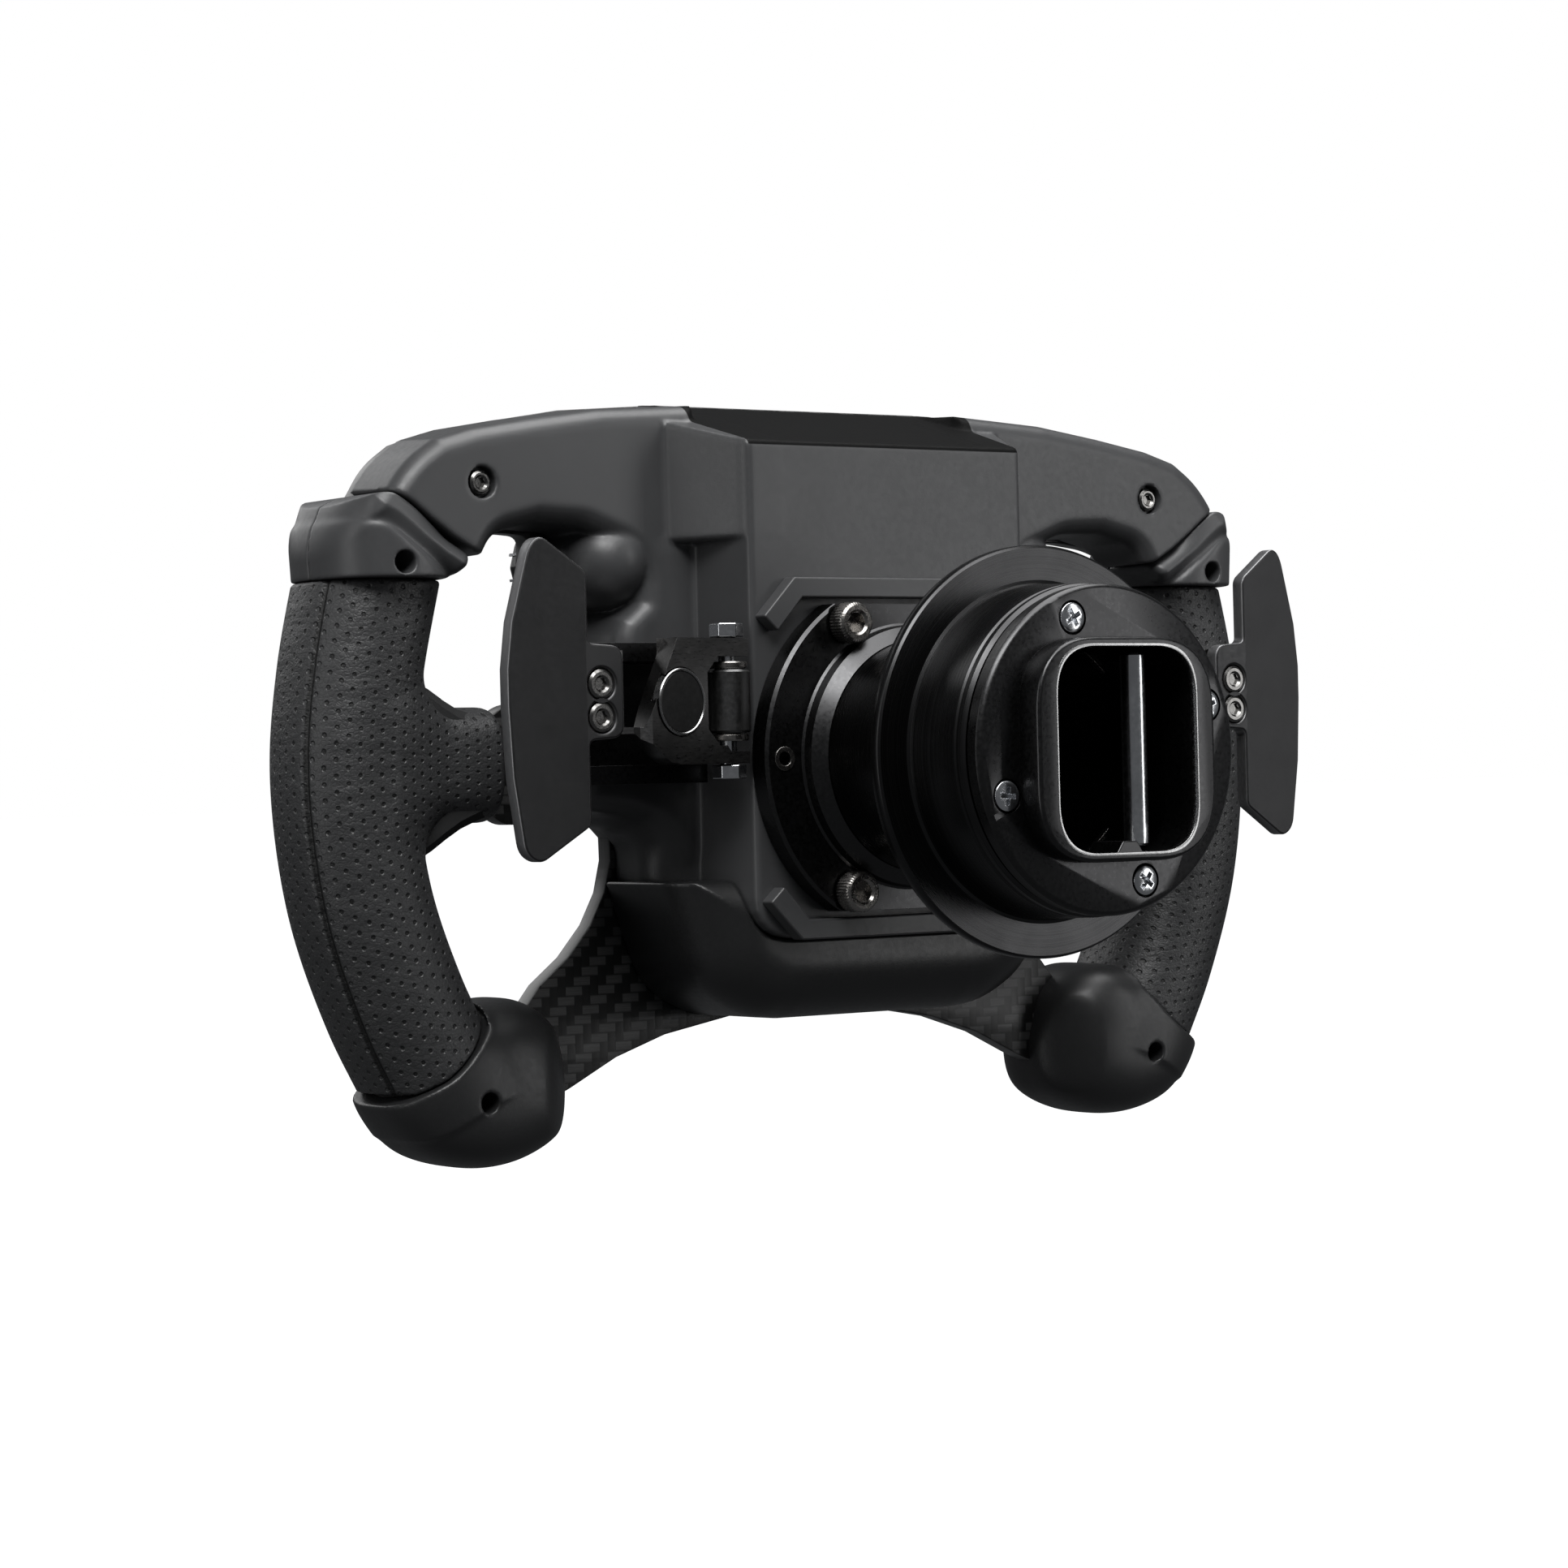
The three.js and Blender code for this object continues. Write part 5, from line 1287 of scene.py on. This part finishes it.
ground = bpy.data.meshes.new("floor")
FLOOR_REACH, FLOOR_Z = 60, -0.32   # in metres
corners = [(sx * FLOOR_REACH, sy * FLOOR_REACH, FLOOR_Z) for sx, sy in ((-1, -1), (1, -1), (1, 1), (-1, 1))]
ground.from_pydata(corners, [], [(0, 1, 2, 3)])
floor = new_object("floor", ground)
pale = Look("floor_pale", Roughness=0.9, Emission_Strength=1.0)
pale.set("Base Color", grey(0.82))
pale.set("Emission Color", grey(1.0))
floor.data.materials.append(pale.material)
floor.visible_diffuse = False
floor.visible_glossy = False

world = bpy.data.worlds.new("studio")
bpy.context.scene.world = world
world.use_nodes = True
tree = world.node_tree
back = tree.nodes["Background"]
back.inputs["Color"].default_value = (0.75, 0.77, 0.8, 1)
back.inputs["Strength"].default_value = 0.12
bright = tree.nodes.new("ShaderNodeBackground")
bright.inputs["Color"].default_value = (1, 1, 1, 1)
bright.inputs["Strength"].default_value = 1.0
rays = tree.nodes.new("ShaderNodeLightPath")
choose = tree.nodes.new("ShaderNodeMixShader")
tree.links.new(rays.outputs["Is Camera Ray"], choose.inputs[0])
tree.links.new(back.outputs[0], choose.inputs[1])
tree.links.new(bright.outputs[0], choose.inputs[2])
tree.links.new(choose.outputs[0], tree.nodes["World Output"].inputs["Surface"])


def softbox(name, at, target, size, power, tint=(1, 1, 1)):
    light = bpy.data.lights.new(name, "AREA")
    light.shape = "RECTANGLE"
    light.size, light.size_y = size
    light.energy = power
    light.color = tint
    thing = bpy.data.objects.new(name, light)
    bpy.context.scene.collection.objects.link(thing)
    way = Vector(target) - Vector(at)
    thing.matrix_world = Matrix.Translation(at) @ way.to_track_quat("-Z", "Y").to_matrix().to_4x4()
    return thing


softbox("key", (0.55, 0.75, 1.15), (0, -0.08, 0), (0.9, 0.6), 21)
softbox("top", (-0.3, 0.1, 1.3), (0, -0.1, 0), (1.4, 0.8), 19)
softbox("fill", (-0.9, 0.9, 0.25), (0, -0.05, 0), (0.3, 1.2), 4)
softbox("front", (0.3, -1.4, 0.7), (0, -0.1, 0), (1.2, 0.8), 5)
softbox("side", (1.3, -0.1, 0.2), (0.1, -0.1, 0), (0.4, 1.2), 3)

CAMERA_AT = (0.56803, 0.66504, -0.00498)
AZIMUTH, ELEVATION, ROLL = (math.radians(v) for v in (144.328, 0.042, -1.423))
lens = bpy.data.cameras.new("camera")
lens.sensor_width = lens.sensor_height = 36
lens.lens = 93.94
lens.clip_start = 0.01
camera = bpy.data.objects.new("camera", lens)
bpy.context.scene.collection.objects.link(camera)
toward = Vector((
    math.sin(AZIMUTH) * math.cos(ELEVATION), -math.cos(AZIMUTH) * math.cos(ELEVATION), math.sin(ELEVATION)))
right = (-toward).cross(Vector((0, 0, 1))).normalized()
up = right.cross(-toward)
right, up = right * math.cos(ROLL) + up * math.sin(ROLL), up * math.cos(ROLL) - right * math.sin(ROLL)
camera.matrix_world = Matrix.Translation(CAMERA_AT) @ Matrix((right, up, toward)).transposed().to_4x4()
bpy.context.scene.camera = camera
bpy.context.scene.view_settings.view_transform = "Standard"
